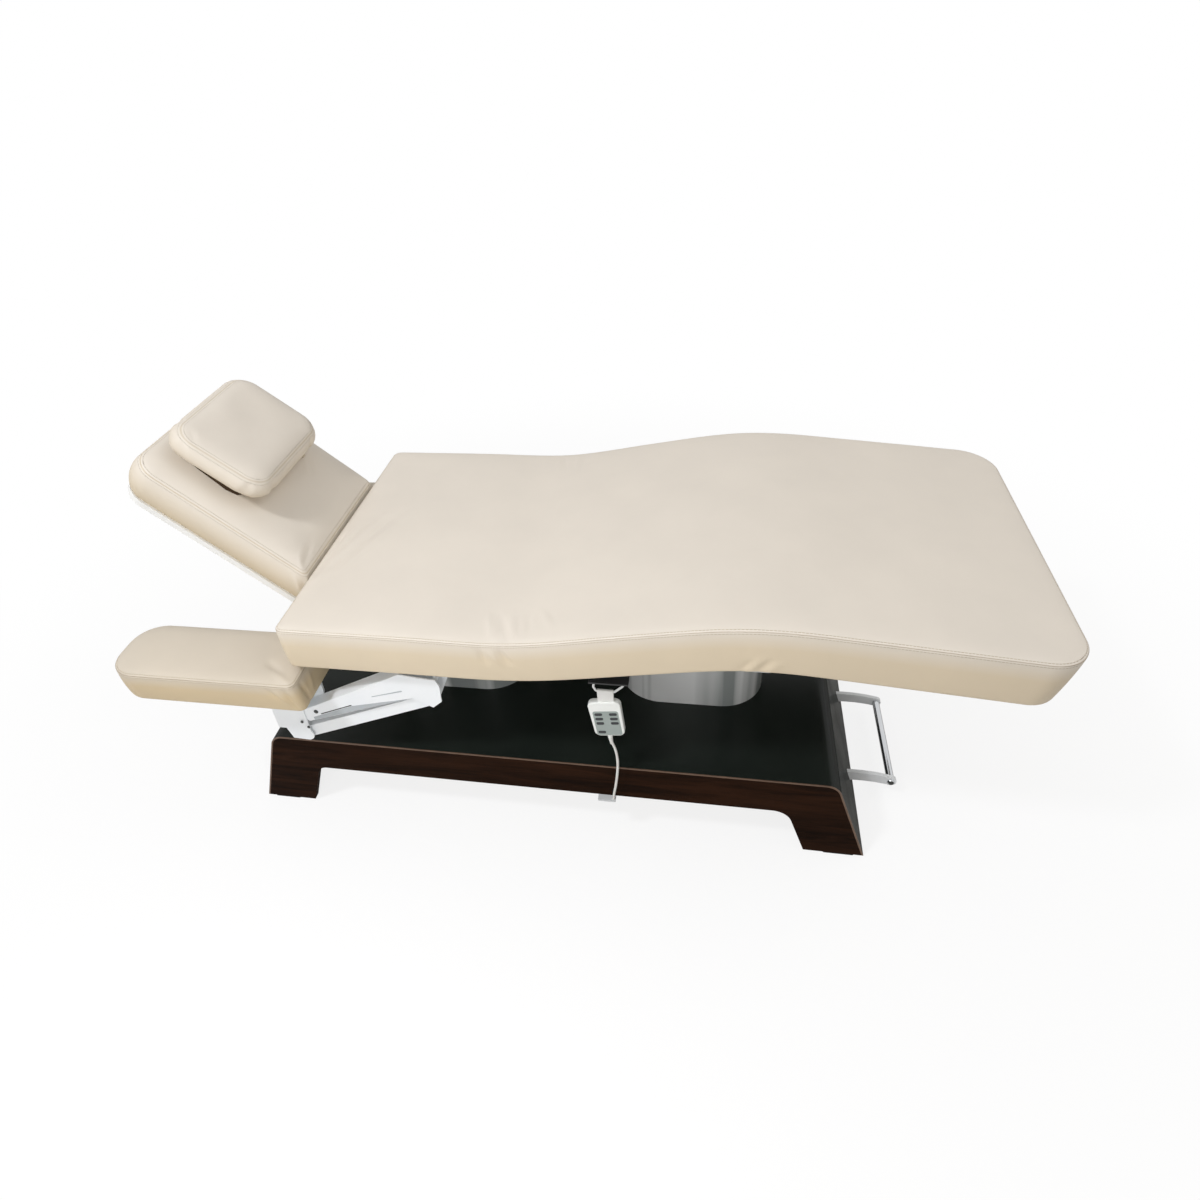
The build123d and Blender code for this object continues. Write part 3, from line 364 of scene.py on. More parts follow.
def leather(name, fade, band_shade_tone=(220, 205, 179), seam_tone=(150, 132, 106), thread_tone=(205, 190, 164),
            top_tone=(227, 219, 207)):
    """Cream hide: cloud tones, the seam's dark line, thread, and the grain's relief. Below the seam
    the band takes a darker, warmer tone over the fade: painted shade of the pad's sides."""
    material = finish(name, Specular_IOR_Level=0.30, Sheen_Weight=0.03, Sheen_Roughness=0.4)
    tree = material.node_tree
    rim = node(tree, "ShaderNodeGroup", {"Gap": 0.0022, "Row": 0.0048, "Pitch": 0.0062, "Fade": fade},
               node_tree=seams).outputs
    hide = node(tree, "ShaderNodeGroup", {"Pebble Scale": 620, "Depth": 0.0001, "Height": rim["Stitch"]},
                node_tree=grain).outputs
    # The band's darker, warmer tone is painted shade of the pad's sides.
    tone = blend_tones(tree, rim["Band Shade"], paint(*top_tone), paint(*band_shade_tone))
    drift = remap(tree, hide["Cloud"], 0.3, 0.7, 0.965, 1.02)
    clouded = blend_tones(tree, 1.0, tone, drift, blend_type="MULTIPLY")
    lined = blend_tones(tree, rim["Line"], clouded, paint(*seam_tone))
    threaded = blend_tones(tree, rim["Stitch"], lined, paint(*thread_tone))
    shade(material, Base_Color=threaded, Roughness=hide["Roughness"], Normal=hide["Normal"])
    return material


# Sewn pads: each is one mesh, a domed top over a patch of its plan and a band below the rim.
# Folds are (start, end, width, height), and on the band they first name their side.
groove_width, groove_share = 0.0022, 0.7
fold_fade = 0.006
band_rings = 22


def stations(length, pitch, mark=None):
    """Distances along a side: close together at both ends, even between, and close round a mark."""
    near = np.array([0, 0.8, 1.6, 2.5, 3.6, 5, 7, 9.5, 13, 17, 22]) / 1000
    edge = near[-1]
    middle = np.linspace(edge, length - edge, max(2, round((length - 2 * edge) / pitch)) + 1)
    marked = []
    if mark is not None:
        middle = middle[np.abs(middle - mark) > 0.004]
        marked = [mark - 0.001, mark, mark + 0.001]
    return np.unique(np.concatenate([near, middle, length - near, marked]))


def plan(length, width, low_radius, high_radius, along, across):
    """Coons patch of a rounded rectangle: each side is a graph to the middle of its corners'
    arcs, and the two pairs of sides are blended less their bilinear part."""
    share = 1 - 1 / np.sqrt(2)
    low_cut, high_cut = share * low_radius, share * high_radius
    u = (along / length)[:, None]
    v = (across / width)[None]
    x = low_cut + u * (length - low_cut - high_cut)

    def half_width(x):
        low = np.clip(low_radius - x, 0, None)
        high = np.clip(x - (length - high_radius), 0, None)
        return width / 2 - (low_radius - np.sqrt(low_radius**2 - low**2)) - (
            high_radius - np.sqrt(np.clip(high_radius**2 - high**2, 0, None)))

    def inset(y, radius):
        beyond = np.clip(np.abs(y) - (width / 2 - radius), 0, None)
        return radius - np.sqrt(np.clip(radius**2 - beyond**2, 0, None))

    side_y = half_width(x)
    low_y = (2 * v - 1) * (width / 2 - low_cut)
    high_y = (2 * v - 1) * (width / 2 - high_cut)
    low_x = inset(low_y, low_radius)
    high_x = length - inset(high_y, high_radius)
    grid_x = x + (1 - u) * low_x + u * high_x - ((1 - u) * low_cut + u * (length - high_cut))
    grid_y = (2 * v - 1) * side_y + (1 - u) * low_y + u * high_y - (2 * v - 1) * (
        (1 - u) * (width / 2 - low_cut) + u * (width / 2 - high_cut))
    return grid_x, grid_y


def crease(p, q, start, end, width, height):
    """A soft fold: a bell across the line from start to end, that swells along it and fades out."""
    (a, b), (c, d) = start, end
    share = np.clip(((p - a) * (c - a) + (q - b) * (d - b)) / ((c - a) ** 2 + (d - b) ** 2), 0, 1)
    away = (p - a - share * (c - a)) ** 2 + (q - b - share * (d - b)) ** 2
    return height * np.exp(-away / width**2) * (0.25 + 0.75 * np.sin(pi * share))


def pad_top(x, y, length, width, radius, seam_height, shoulder, shoulder_reach, crown, groove, folds, slack):
    """Height of a pad's top over its plan, and each point's distance in from the rim: up from the
    seam's groove by a shoulder that fades out and by a crown, with folds and a little slack."""
    core_x = np.clip(x, radius, length - radius)
    core_y = np.clip(y, -(width / 2 - radius), width / 2 - radius)
    in_corner = (np.abs(x - core_x) > 1e-9) & (np.abs(y - core_y) > 1e-9)
    to_side = np.minimum(np.minimum(x, length - x), width / 2 - np.abs(y))
    inside = np.where(in_corner, radius - np.hypot(x - core_x, y - core_y), to_side)
    inside = np.clip(inside, 0, None)
    dome = (1 - (2 * y / width) ** 2) * (1 - (2 * x / length - 1) ** 6)
    height = seam_height + shoulder * (1 - np.exp(-inside / shoulder_reach)) + crown * dome
    height -= groove * np.exp(-((inside / groove_width) ** 2))
    fade = 1 - np.exp(-inside / fold_fade)
    for fold in folds:
        height += fade * crease(x, y, *fold)
    height += slack * fade * (np.sin(x * 21 + 3 * np.sin(y * 9)) * np.cos(y * 17 + 2 * np.sin(x * 7))
                              + 0.5 * np.sin(x * 47 + y * 31))
    return height, inside


def pad_band(x, y, length, width, radius, seam_height, bulge, draw, foot, groove, folds):
    """Rings of a pad's band, down and in from its rim with a bulge to a rounded foot: their x, y and
    height, their distance from the seam along the band, and the rim's outward directions."""
    out = np.stack([x - np.clip(x, radius, length - radius),
                    y - np.clip(y, -(width / 2 - radius), width / 2 - radius)], 1)
    out /= np.linalg.norm(out, axis=1)[:, None]
    lead_in = np.array([0.0008, 0.0016, 0.0025, 0.0036, 0.005, 0.0075])
    drop = np.concatenate([lead_in, np.linspace(0.011, seam_height - foot, band_rings)])
    arc = np.linspace(0, pi / 2, 7)[1:]
    height = np.concatenate([seam_height - drop, foot * (1 - np.sin(arc))])[:, None] + np.zeros(len(x))
    fallen = (seam_height - height) / seam_height
    outward = bulge * np.sin(pi * np.clip(fallen, 0, 1)) ** 0.8 - draw * fallen
    outward -= groove_share * groove * np.exp(-(((seam_height - height) / groove_width) ** 2))
    outward[-len(arc):] -= foot * (1 - np.cos(arc))[:, None]
    down = np.concatenate([drop, drop[-1] + foot * arc])[:, None] + np.zeros(len(x))
    slope = np.clip(fallen * 8, 0, 1)
    sides = {"near": (x, out[:, 1] < -0.7), "far": (x, out[:, 1] > 0.7),
             "low": (y, out[:, 0] < -0.7), "high": (y, out[:, 0] > 0.7)}
    for side, *fold in folds:
        place, on_side = sides[side]
        outward += slope * on_side * crease(place, height, *fold)
    return x + out[:, 0] * outward, y + out[:, 1] * outward, height, down, out


def pad(name, length, width, seam_height, low_radius, high_radius, place, material, pitch=0.007,
        shoulder=0.005, shoulder_reach=0.012, crown=0.005, bulge=0.0025, draw=0.006, foot=0.008,
        groove=0.0012, cut=None, top_folds=(), band_folds=(), slack=0.0004):
    """A sewn pad with a flat underside, whose ends have corners of a low and a high radius. place
    turns (along, across, height) to a point. A cut makes two closed pieces that meet there."""
    along = stations(length, pitch, cut)
    x, y = plan(length, width, low_radius, high_radius, along, stations(width, pitch))
    radius = np.where(x < length / 2, low_radius, high_radius)
    height, inside = pad_top(
        x, y, length, width, radius, seam_height, shoulder, shoulder_reach, crown, groove, top_folds, slack)
    sideways = np.minimum(x, length - x) > width / 2 - np.abs(y)
    run = np.where(sideways, x, y)

    nu, nv = x.shape
    up_u, up_v = np.arange(nu - 1), np.arange(nv - 1)
    i = np.concatenate([up_u, np.full(nv - 1, nu - 1), up_u[::-1] + 1, np.zeros(nv - 1, int)])
    j = np.concatenate([np.zeros(nu - 1, int), up_v, np.full(nu - 1, nv - 1), up_v[::-1] + 1])
    ring_x, ring_y, ring_height, ring_down, out = pad_band(
        x[i, j], y[i, j], length, width, radius[i, j], seam_height, bulge, draw, foot, groove, band_folds)
    rim_in = groove_share * groove
    x[i, j] -= out[:, 0] * rim_in
    y[i, j] -= out[:, 1] * rim_in
    points = place(*[np.concatenate([of_top.ravel(), of_band.ravel()])
                     for of_top, of_band in ((x, ring_x), (y, ring_y), (height, ring_height))])
    seam = np.concatenate([inside.ravel(), -ring_down.ravel()])
    seam_run = np.concatenate([run.ravel(), np.tile(run[i, j], len(ring_x))])

    grid = np.arange(nu * nv).reshape(nu, nv)
    ring = np.concatenate([grid[i, j][None], nu * nv + np.arange(ring_x.size).reshape(ring_x.shape)])
    top = grid_faces(grid)
    side = grid_faces(np.concatenate([ring, ring[:, :1]], axis=1))
    last = ring[-1]
    near = last[:nu]
    far = last[nu + nv - 2:2 * nu + nv - 2][::-1]
    high_edge = last[nu - 1:nu + nv - 1]
    low_edge = np.concatenate([last[2 * nu + nv - 3:], last[:1]])
    under = np.stack([near[1:-2], far[1:-2], far[2:-1], near[2:-1]], 1)
    low_end = [near[1], *low_edge[::-1], far[1]]
    high_end = [far[-2], *high_edge[::-1], near[-2]]

    # Where a cover is made in two lengths, both take the whole cover's normals, so no line shows.
    quads = np.concatenate([top.reshape(-1, 4), side.reshape(-1, 4)])
    facing = np.cross(points[quads[:, 2]] - points[quads[:, 0]], points[quads[:, 3]] - points[quads[:, 1]])
    normals = np.zeros(points.shape)
    for corner in quads.T:
        np.add.at(normals, corner, facing)
    normals[last] = 0
    normals /= np.maximum(np.linalg.norm(normals, axis=1), 1e-12)[:, None]

    def build(label, top, side, under, ends, cap):
        faces = [*top.reshape(-1, 4), *side.reshape(-1, 4), *under, *ends]
        flat = len(faces)
        if cap is not None:
            faces.append(cap)
        used = np.unique(np.concatenate(faces))
        index = np.full(len(points), -1)
        index[used] = np.arange(len(used))
        made = solid(label, points[used], [index[face] for face in faces], material)
        if cap is not None:
            made.data.polygons[flat].use_smooth = False
            shared = np.zeros((len(used), 3))
            shared[index[cap]] = normals[cap]
            made.data.normals_split_custom_set_from_vertices(shared.tolist())
        for key, values in (("seam", seam), ("run", seam_run)):
            attribute = made.data.attributes.new(key, "FLOAT", "POINT")
            attribute.data.foreach_set("value", values[used].astype(np.float32))
        return made

    if cut is None:
        return build(name, top, side, under, [low_end, high_end], None)
    k = int(np.argmin(np.abs(along - cut)))
    far_column = 2 * nu + nv - 3 - k
    column = np.arange(len(i))
    low_side = (column < k) | (column >= far_column)
    cap = [*grid[k, :], *ring[1:, far_column], *ring[1:, k][::-1]]
    return (
        build(name + "_back", top[:k], side[:, low_side], under[:k - 1], [low_end], cap),
        build(name + "_legs", top[k:], side[:, ~low_side], under[k - 1:], [high_end], cap[::-1]),
    )


# Main cushion: one long foam mattress in a sewn cover. It lies flat on the back board, bends up
# over the fold and down over the knee, so it is made in two lengths that meet on the thigh board.
cream_leather = leather("cream_leather", 0.040)
cushion_width, cushion_seam = 0.780, 0.108
head_corner, fold_corner = (-0.560, 0.557), (-0.03245, 0.557)
knee_corner, foot_corner = (0.41895, 0.6366), (0.98964, 0.58165)
fold_reach, knee_reach = 0.34, 0.30
sag_depth, sag_at, sag_reach = 0.0045, 0.50, 0.15
lean_depth, lean_from, lean_reach = 0.012, 1.40, 0.14


def bent_line(points, reach):
    """Arc length, place and heading of a run of straights whose headings turn smoothly at each
    corner over a reach, with the straights themselves kept in line."""
    points = np.asarray(points, float)
    runs = np.diff(points, axis=0)
    lengths = np.linalg.norm(runs, axis=1)
    angles = np.arctan2(runs[:, 1], runs[:, 0])
    reflection_streaks = np.concatenate([[0], np.cumsum(lengths)])
    s = np.linspace(0, reflection_streaks[-1], 6001)
    heading = np.full_like(s, angles[0])
    for corner, before, after, span in zip(reflection_streaks[1:-1], angles, angles[1:], reach):
        t = np.clip((s - corner) / span + 0.5, 0, 1)
        heading += (after - before) * t * t * (3 - 2 * t)
    step = s[1] - s[0]
    middle = (heading[1:] + heading[:-1]) / 2
    x = points[0, 0] + np.concatenate([[0], np.cumsum(np.cos(middle) * step)])
    z = points[0, 1] + np.concatenate([[0], np.cumsum(np.sin(middle) * step)])
    return s, x, z, heading


line_s, line_x, line_z, line_heading = bent_line(
    [head_corner, fold_corner, knee_corner, foot_corner], (fold_reach, knee_reach))


def on_boards(along, across, height):
    """A point of the main cushion: square to the bent line by its height, less a sag at the fold,
    with the foot end's band leaning in towards its bottom."""
    upper = 0.35 + 0.65 * np.clip(height / 0.1, 0, 1)
    sag = sag_depth * np.exp(-(((along - sag_at) / sag_reach) ** 2)) * upper
    lean = np.clip((along - lean_from) / lean_reach, 0, 1) ** 2
    along = along - lean_depth * lean * np.clip(1 - height / cushion_seam, 0, 1)
    rise = height - sag
    x, z = np.interp(along, line_s, line_x), np.interp(along, line_s, line_z)
    heading = np.interp(along, line_s, line_heading)
    return np.stack([x - rise * np.sin(heading), across, z + rise * np.cos(heading)], 1)


cushion_back, cushion_legs = pad(
    "main_cushion", length=float(line_s[-1]), width=cushion_width, seam_height=cushion_seam,
    low_radius=0.020, high_radius=0.085, place=on_boards, material=cream_leather, cut=0.757,
    top_folds=[
        ((0.452, -0.300), (0.480, -0.372), 0.0050, 0.0032),
        ((0.476, -0.296), (0.512, -0.374), 0.0045, -0.0028),
        ((0.505, -0.300), (0.530, -0.380), 0.0050, 0.0034),
        ((0.545, -0.290), (0.560, -0.366), 0.0045, -0.0024),
        ((0.572, -0.286), (0.610, -0.352), 0.0060, 0.0028),
        ((0.520, 0.300), (0.500, 0.376), 0.0060, -0.0028),
        ((0.556, 0.290), (0.548, 0.372), 0.0060, 0.0028),
        ((0.092, 0.060), (0.030, -0.150), 0.0065, 0.0044),
        ((0.110, 0.040), (0.046, -0.170), 0.0065, -0.0042),
        ((0.130, 0.010), (0.064, -0.190), 0.0075, 0.0034),
        ((0.040, 0.010), (0.014, -0.130), 0.0045, 0.0040),
        ((0.024, -0.020), (0.012, -0.180), 0.0040, -0.0040),
        ((0.160, 0.120), (0.095, -0.020), 0.0110, -0.0028),
        ((0.034, -0.180), (0.012, -0.250), 0.0050, 0.0036),
    ],
    band_folds=[
        ("near", (0.448, 0.098), (0.462, 0.052), 0.0050, -0.0052),
        ("near", (0.470, 0.100), (0.492, 0.050), 0.0045, 0.0040),
        ("near", (0.490, 0.098), (0.512, 0.056), 0.0050, -0.0056),
        ("near", (0.986, 0.036), (0.962, 0.004), 0.0055, -0.0028),
        ("near", (1.004, 0.044), (0.978, 0.004), 0.0055, 0.0028),
        ("near", (1.020, 0.040), (0.996, 0.004), 0.0055, -0.0030),
        ("near", (1.036, 0.036), (1.014, 0.004), 0.0055, 0.0024),
        ("far", (0.470, 0.096), (0.486, 0.050), 0.0050, -0.0052),
        ("far", (0.505, 0.098), (0.520, 0.052), 0.0050, 0.0044),
        ("far", (0.975, 0.042), (0.970, 0.004), 0.0055, -0.0052),
        ("far", (1.004, 0.040), (1.008, 0.004), 0.0055, 0.0040),
    ],
)
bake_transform(cushion_back)
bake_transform(cushion_legs)
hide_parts("back_pad", "thigh_pad")
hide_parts("leg_pad")

# Head cushion: the same sewn cover on the raised head section, with a round free end. Its lower
# end is cut upright, against the end of the main cushion.
head_turn = radians(-41)
head_axis = np.array([cos(head_turn), 0, sin(head_turn)])
head_up = np.array([-sin(head_turn), 0, cos(head_turn)])
head_pivot = np.array([-0.565, 0, 0.529])
head_free, head_reach, head_seam = -0.524, 0.5005, 0.081
board_top = 0.028
upright_from, upright_slope, upright_gap, upright_height = 0.19, 0.869, 0.001, 0.09
head_leather = leather("head_leather", 0.075, (213, 196, 165), (202, 188, 162), (219, 209, 193))


def head_point(along, across, rise):
    """A point of the head section: along its board from the hinge, across it and square to it."""
    return (head_pivot + np.multiply.outer(along, head_axis) + np.multiply.outer(across, [0, 1, 0])
            + np.multiply.outer(rise, head_up))


def on_head(along, across, height):
    """A point of the head cushion: along the tilted board from its free end, pushed back near the
    lower end by its height, so that this end stands upright and flat."""
    along = np.minimum(along, head_reach + 0.0005)
    lean = np.clip((along - upright_from) / (head_reach - upright_from), 0, 1)
    lean = lean * lean * (3 - 2 * lean)
    back = (upright_slope * height + upright_gap * np.clip(height / upright_height, 0, 1)) * lean
    return head_point(head_free + along - back, across, board_top + height)


head_cushion = pad(
    "head_cushion", length=head_reach, width=0.414, seam_height=head_seam, low_radius=0.052,
    high_radius=0.014, place=on_head, material=head_leather, pitch=0.006, shoulder=0.016,
    shoulder_reach=0.022, crown=0.005, bulge=0.011, draw=0.002,
    top_folds=[
        ((0.290, 0.120), (0.352, 0.086), 0.0060, -0.0018),
        ((0.292, 0.100), (0.345, 0.060), 0.0060, 0.0016),
        ((0.476, -0.110), (0.490, -0.190), 0.0040, -0.0028),
        ((0.464, -0.140), (0.482, -0.198), 0.0040, 0.0024),
        ((0.478, 0.150), (0.490, 0.200), 0.0050, -0.0024),
    ],
    band_folds=[
        ("near", (0.492, 0.085), (0.486, 0.020), 0.0060, -0.0044),
        ("near", (0.470, 0.080), (0.474, 0.016), 0.0070, 0.0040),
        ("far", (0.488, 0.085), (0.484, 0.020), 0.0060, -0.0040),
    ],
)
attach(head_cushion, "head_section")
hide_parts("head_pad")

# Gusset: a strip of dark brown fabric sewn along the top of the main cushion's head end, which
# fills the slit beside the head cushion. Its dark brown is painted shade, deep in the slit.
shade_gusset_half, shade_gusset_low, shade_gusset_high = 0.196, 0.620, 0.657
shade_gusset_place, shade_gusset_half_thickness, shade_gusset_ripple = -0.5638, 0.0005, 0.0004
shade_gusset_columns, shade_gusset_rows = 60, 16
# The dark cloth is painted shade, here and under the pillow.
dark_shade_cloth = hard_finish("dark_shade_cloth", (54, 42, 30), (74, 58, 42), gloss=(0.72, 0.88),
                           patch_scale=40, skin_scale=1500, skin_depth=0.00008, Specular_IOR_Level=0.1)
shade_gusset_y, shade_gusset_z = np.meshgrid(np.linspace(-shade_gusset_half, shade_gusset_half, shade_gusset_columns),
                                 np.linspace(shade_gusset_low, shade_gusset_high, shade_gusset_rows), indexing="ij")
shade_gusset_x = shade_gusset_place + shade_gusset_ripple * np.sin(shade_gusset_y * 90) * np.sin(shade_gusset_z * 60)
shade_gusset_points = np.concatenate([np.stack([shade_gusset_x + offset, shade_gusset_y, shade_gusset_z], -1).reshape(-1, 3)
                                for offset in (-shade_gusset_half_thickness, shade_gusset_half_thickness)])
one_face = shade_gusset_columns * shade_gusset_rows
front = np.arange(one_face).reshape(shade_gusset_columns, shade_gusset_rows)
rim = np.concatenate([front[:-1, 0], front[-1, :-1], front[:0:-1, -1], front[0, :0:-1]])
rim = np.append(rim, rim[0])
shade_gusset_faces = np.concatenate([grid_faces(side).reshape(-1, 4) for side in (
    front, front + one_face, np.stack([rim, rim + one_face], 1))])
shade_gusset = upright(solid("neck_shade_gusset", shade_gusset_points, shade_gusset_faces, dark_shade_cloth))
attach(shade_gusset, "top")

# Pillow: a soft block filled with fibre, sewn round its upper rim, that lies on the head cushion.
# It is fuller towards its lower end, where its underside stands off the cushion.
pillow_length, pillow_width = 0.214, 0.304
pillow_low, pillow_height, pillow_sink = -0.492, 0.1313, 0.001
pillow_shift, pillow_twist, pillow_centre = 0.008, 0.04, 0.110
pillow_swell, pillow_lift, lift_gain = 0.22, 0.004, 0.013
lift_reach, lift_height = 0.055, 0.07
pillow_leather = leather("pillow_leather", 0.070, (204, 188, 160), (208, 197, 178), (222, 213, 198))


def askew(along, across):
    """The pillow's own across, turned and moved a little on the head cushion."""
    return across + pillow_shift - pillow_twist * (along - pillow_centre)


def on_head_cushion(along, across, height):
    """A point of the pillow: on the tilted head cushion, a little askew, thicker towards the lower
    end, with its underside lifted towards the rim."""
    to_rim = np.minimum(np.minimum(along, pillow_length - along), pillow_width / 2 - np.abs(across))
    share = np.clip(along / pillow_length, 0, 1)
    near_rim = np.clip(1 - to_rim / lift_reach, 0, 1) ** 1.5
    lift = (pillow_lift + lift_gain * share) * near_rim * np.clip(1 - height / lift_height, 0, 1)
    rise = pillow_height - pillow_sink + height * (1 + pillow_swell * share) + lift
    return head_point(pillow_low + along, askew(along, across), rise)


pillow_skin = pad(
    "soft_pillow", length=pillow_length, width=pillow_width, seam_height=0.059, low_radius=0.045,
    high_radius=0.045, place=on_head_cushion, material=pillow_leather, pitch=0.005, shoulder=0.010,
    shoulder_reach=0.016, crown=0.003, bulge=0.020, draw=0.006, foot=0.026, groove=0.0004,
    top_folds=[
        ((0.020, -0.120), (0.050, -0.150), 0.0070, -0.0020),
        ((0.194, -0.140), (0.218, -0.110), 0.0070, -0.0024),
        ((0.204, 0.120), (0.219, 0.146), 0.0070, -0.0020),
    ],
    band_folds=[
        ("near", (0.030, 0.066), (0.042, 0.014), 0.0080, -0.0032),
        ("near", (0.190, 0.068), (0.178, 0.012), 0.0080, -0.0040),
        ("high", (-0.110, 0.066), (-0.098, 0.012), 0.0090, -0.0040),
        ("high", (0.100, 0.066), (0.090, 0.012), 0.0090, -0.0040),
        ("low", (-0.100, 0.066), (-0.088, 0.012), 0.0090, -0.0036),
        ("far", (0.050, 0.066), (0.062, 0.014), 0.0080, -0.0036),
    ],
    slack=0.0007,
)
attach(pillow_skin, "head_section")
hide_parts("pillow")

# Pillow base: a dark woven panel under the pillow, which shows below its near edge as painted
# shade of the gap there. It is a flat-sided block that reaches up into the pillow, so that no gap shows
# between them.
def prism(name, first, second, material):
    """A flat-sided piece between two outlines with as many corners each."""
    count = len(first)
    ring = np.arange(count)
    ahead = np.roll(ring, -1)
    sides = np.stack([ring, ahead, ahead + count, ring + count], 1)
    faces = [*sides, ring, ring[::-1] + count]
    return upright(solid(name, np.concatenate([first, second]), faces, material, False))


shade_base_sink, shade_base_reach = -0.0045, 0.016
shade_base_along, shade_base_across = np.array([
    (0.030, -0.130), (0.075, -0.137), (0.148, -0.141), (0.174, -0.135), (0.186, -0.116), (0.188, 0.100),
    (0.030, 0.100),
]).T
shade_base_bottom, shade_base_top = [
    head_point(pillow_low + shade_base_along, askew(shade_base_along, shade_base_across), pillow_height + rise)
    for rise in (shade_base_sink, shade_base_reach)
]
pillow_shade_base = prism("pillow_shade_base", shade_base_bottom, shade_base_top, dark_shade_cloth)
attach(pillow_shade_base, "head_section")

# Pillow tab: the short end of a leather strap that shows beside the pillow's lower corner. It
# slopes up a little towards its free end.
tab_start, tab_middle, tab_gap, tab_thickness, tab_slope = -0.284, 0.108, 0.0008, 0.0022, 0.12
tab_length, tab_half = 0.022, 0.006
tab_along, tab_across = np.array([
    (0, -tab_half), (tab_length, -tab_half), (tab_length, tab_half), (0, tab_half),
]).T
tab_bottom, tab_top = [
    head_point(tab_start + tab_along, tab_middle + tab_across,
               pillow_height + tab_gap + rise + tab_slope * tab_along)
    for rise in (0, tab_thickness)
]
pillow_tab = prism("pillow_tab", tab_bottom, tab_top, pillow_leather)
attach(pillow_tab, "head_section")

# Armrest cushions: narrow foam pads in a sewn leather cover, with a half-round tip at the head end.
# Each is screwed to its steel carrier.
both_sides = ((-1, "right"), (1, "left"))
armrest_tip, armrest_middle, armrest_low = -1.0, 0.3425, 0.457
push_from, push_reach, push_height, push_least, push_gain = 0.41, 0.05, 0.075, 0.002, 0.013
# The armrest's top tone is darker than the other pads' tops: painted shade.
armrest_leather = leather("armrest_leather", 0.030, (207, 188, 154), top_tone=(209, 199, 183))


def on_carrier(side, along, across, height):
    """A point of an armrest cushion: level, from its tip at the head end, with its inner end
    fuller towards the bottom."""
    push = np.clip((along - push_from) / push_reach, 0, 1) ** 2 * (
        push_least + push_gain * np.clip(1 - height / push_height, 0, 1))
    return np.stack([armrest_tip + along + push, side * armrest_middle + across, armrest_low + height], 1)


for side, name in both_sides:
    outer = "near" if side < 0 else "far"
    armrest = pad(
        f"{name}_armrest_cushion", length=0.465, width=0.175, seam_height=0.082, low_radius=0.072,
        high_radius=0.018, place=partial(on_carrier, side), material=armrest_leather, pitch=0.005,
        shoulder=0.007, shoulder_reach=0.013, crown=0.004, bulge=0.003, draw=0.007, foot=0.010,
        top_folds=[
            ((0.395, side * 0.040), (0.448, side * 0.078), 0.0070, 0.0040),
            ((0.380, side * 0.020), (0.430, side * 0.064), 0.0090, -0.0036),
            ((0.425, side * -0.030), (0.452, side * 0.030), 0.0060, -0.0028),
        ],
        band_folds=[
            (outer, (0.440, 0.076), (0.452, 0.012), 0.0050, -0.0052),
            (outer, (0.420, 0.074), (0.444, 0.030), 0.0060, 0.0044),
            (outer, (0.398, 0.076), (0.428, 0.044), 0.0070, -0.0032),
            ("high", (side * 0.060, 0.074), (side * 0.048, 0.008), 0.0050, -0.0052),
            ("high", (side * 0.020, 0.070), (side * 0.030, 0.020), 0.0070, 0.0028),
        ],
    )
    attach(armrest, f"{name}_armrest")
    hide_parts(f"{name}_armrest_pad")

# Base top: a sheet of black gloss laminate, bent down at both ends, with a thin metal line
# let in along its two long edges.
def dress(material, *names):
    """Gives CAD nodes a finish in their own material slots."""
    for name in names:
        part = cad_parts[name]
        part.data.materials.clear()
        part.data.materials.append(material)


gloss = hard_finish("black_gloss_laminate", (21, 26, 23), (30, 35, 31), gloss=(0.16, 0.26),
                    patch_scale=6, skin_scale=160, skin_depth=0.00003)
facing = node(gloss.node_tree, "ShaderNodeLayerWeight", {"Blend": 0.5}).outputs["Facing"]
shade(gloss, Specular_IOR_Level=remap(gloss.node_tree, facing, 0.35, 0.75, 0.14, 0.004))
dress(gloss, "top_panel")
edge_metal = hard_finish("edge_metal", (84, 62, 48), (122, 98, 80), gloss=(0.28, 0.42), patch_scale=30,
                         skin_scale=700, skin_depth=0.00002, Metallic=0.5)
dress(edge_metal, "edge_strips")

# Side frames: an apron with a leg at each end, cut from board and faced with oak-like veneer, its
# grain along the table. They are stained almost black and lacquered.
def tint(material, value, low, dark, high, light):
    """Colours a material from dark to light as a value goes from low to high."""
    ramp = node(material.node_tree, "ShaderNodeValToRGB", {"Fac": value})
    for stop, place, tone in zip(ramp.color_ramp.elements, (low, high), (dark, light)):
        stop.position = place
        stop.color = paint(*tone)
    shade(material, Base_Color=ramp.outputs["Color"])


wood = finish("dark_stained_wood", Specular_IOR_Level=0.015)
tree = wood.node_tree
figure = noise(tree, spread_out(tree, (2.2, 26.0, 26.0)), scale=1.6, detail=7.0, Roughness=0.62,
               Distortion=0.7)
pores = noise(tree, spread_out(tree, (9.0, 420.0, 420.0)), scale=2.0, detail=3.0)
mixed = work_out(tree, "MULTIPLY_ADD", pores, 0.35, figure)
tint(wood, mixed, low=0.46, dark=(17, 9, 5), high=0.82, light=(46, 27, 16))
shade(wood, Roughness=remap(tree, pores, 0.0, 1.0, 0.26, 0.46), Normal=raised(tree, mixed, 0.00012))
dress(wood, "right_apron", "left_apron")

# Boards: the base's deck and end boards are birch ply, screwed between the side frames. Those under
# the cushions are white-faced chipboard, screwed to the lifting frame.
ply = finish("birch_ply", Roughness=0.6)
tree = ply.node_tree
figure = noise(tree, spread_out(tree, (3.0, 30.0, 60.0)), scale=2.0, detail=6.0, Distortion=0.5)
tint(ply, figure, low=0.3, dark=(170, 136, 94), high=0.7, light=(210, 182, 142))
dress(ply, "carcass_boards")
board_face = hard_finish("white_board", (234, 234, 231), (246, 246, 244), gloss=(0.42, 0.58),
                         patch_scale=8, skin_scale=380, skin_depth=0.00006)
dress(board_face, "back_board", "thigh_board", "leg_board", "head_board")
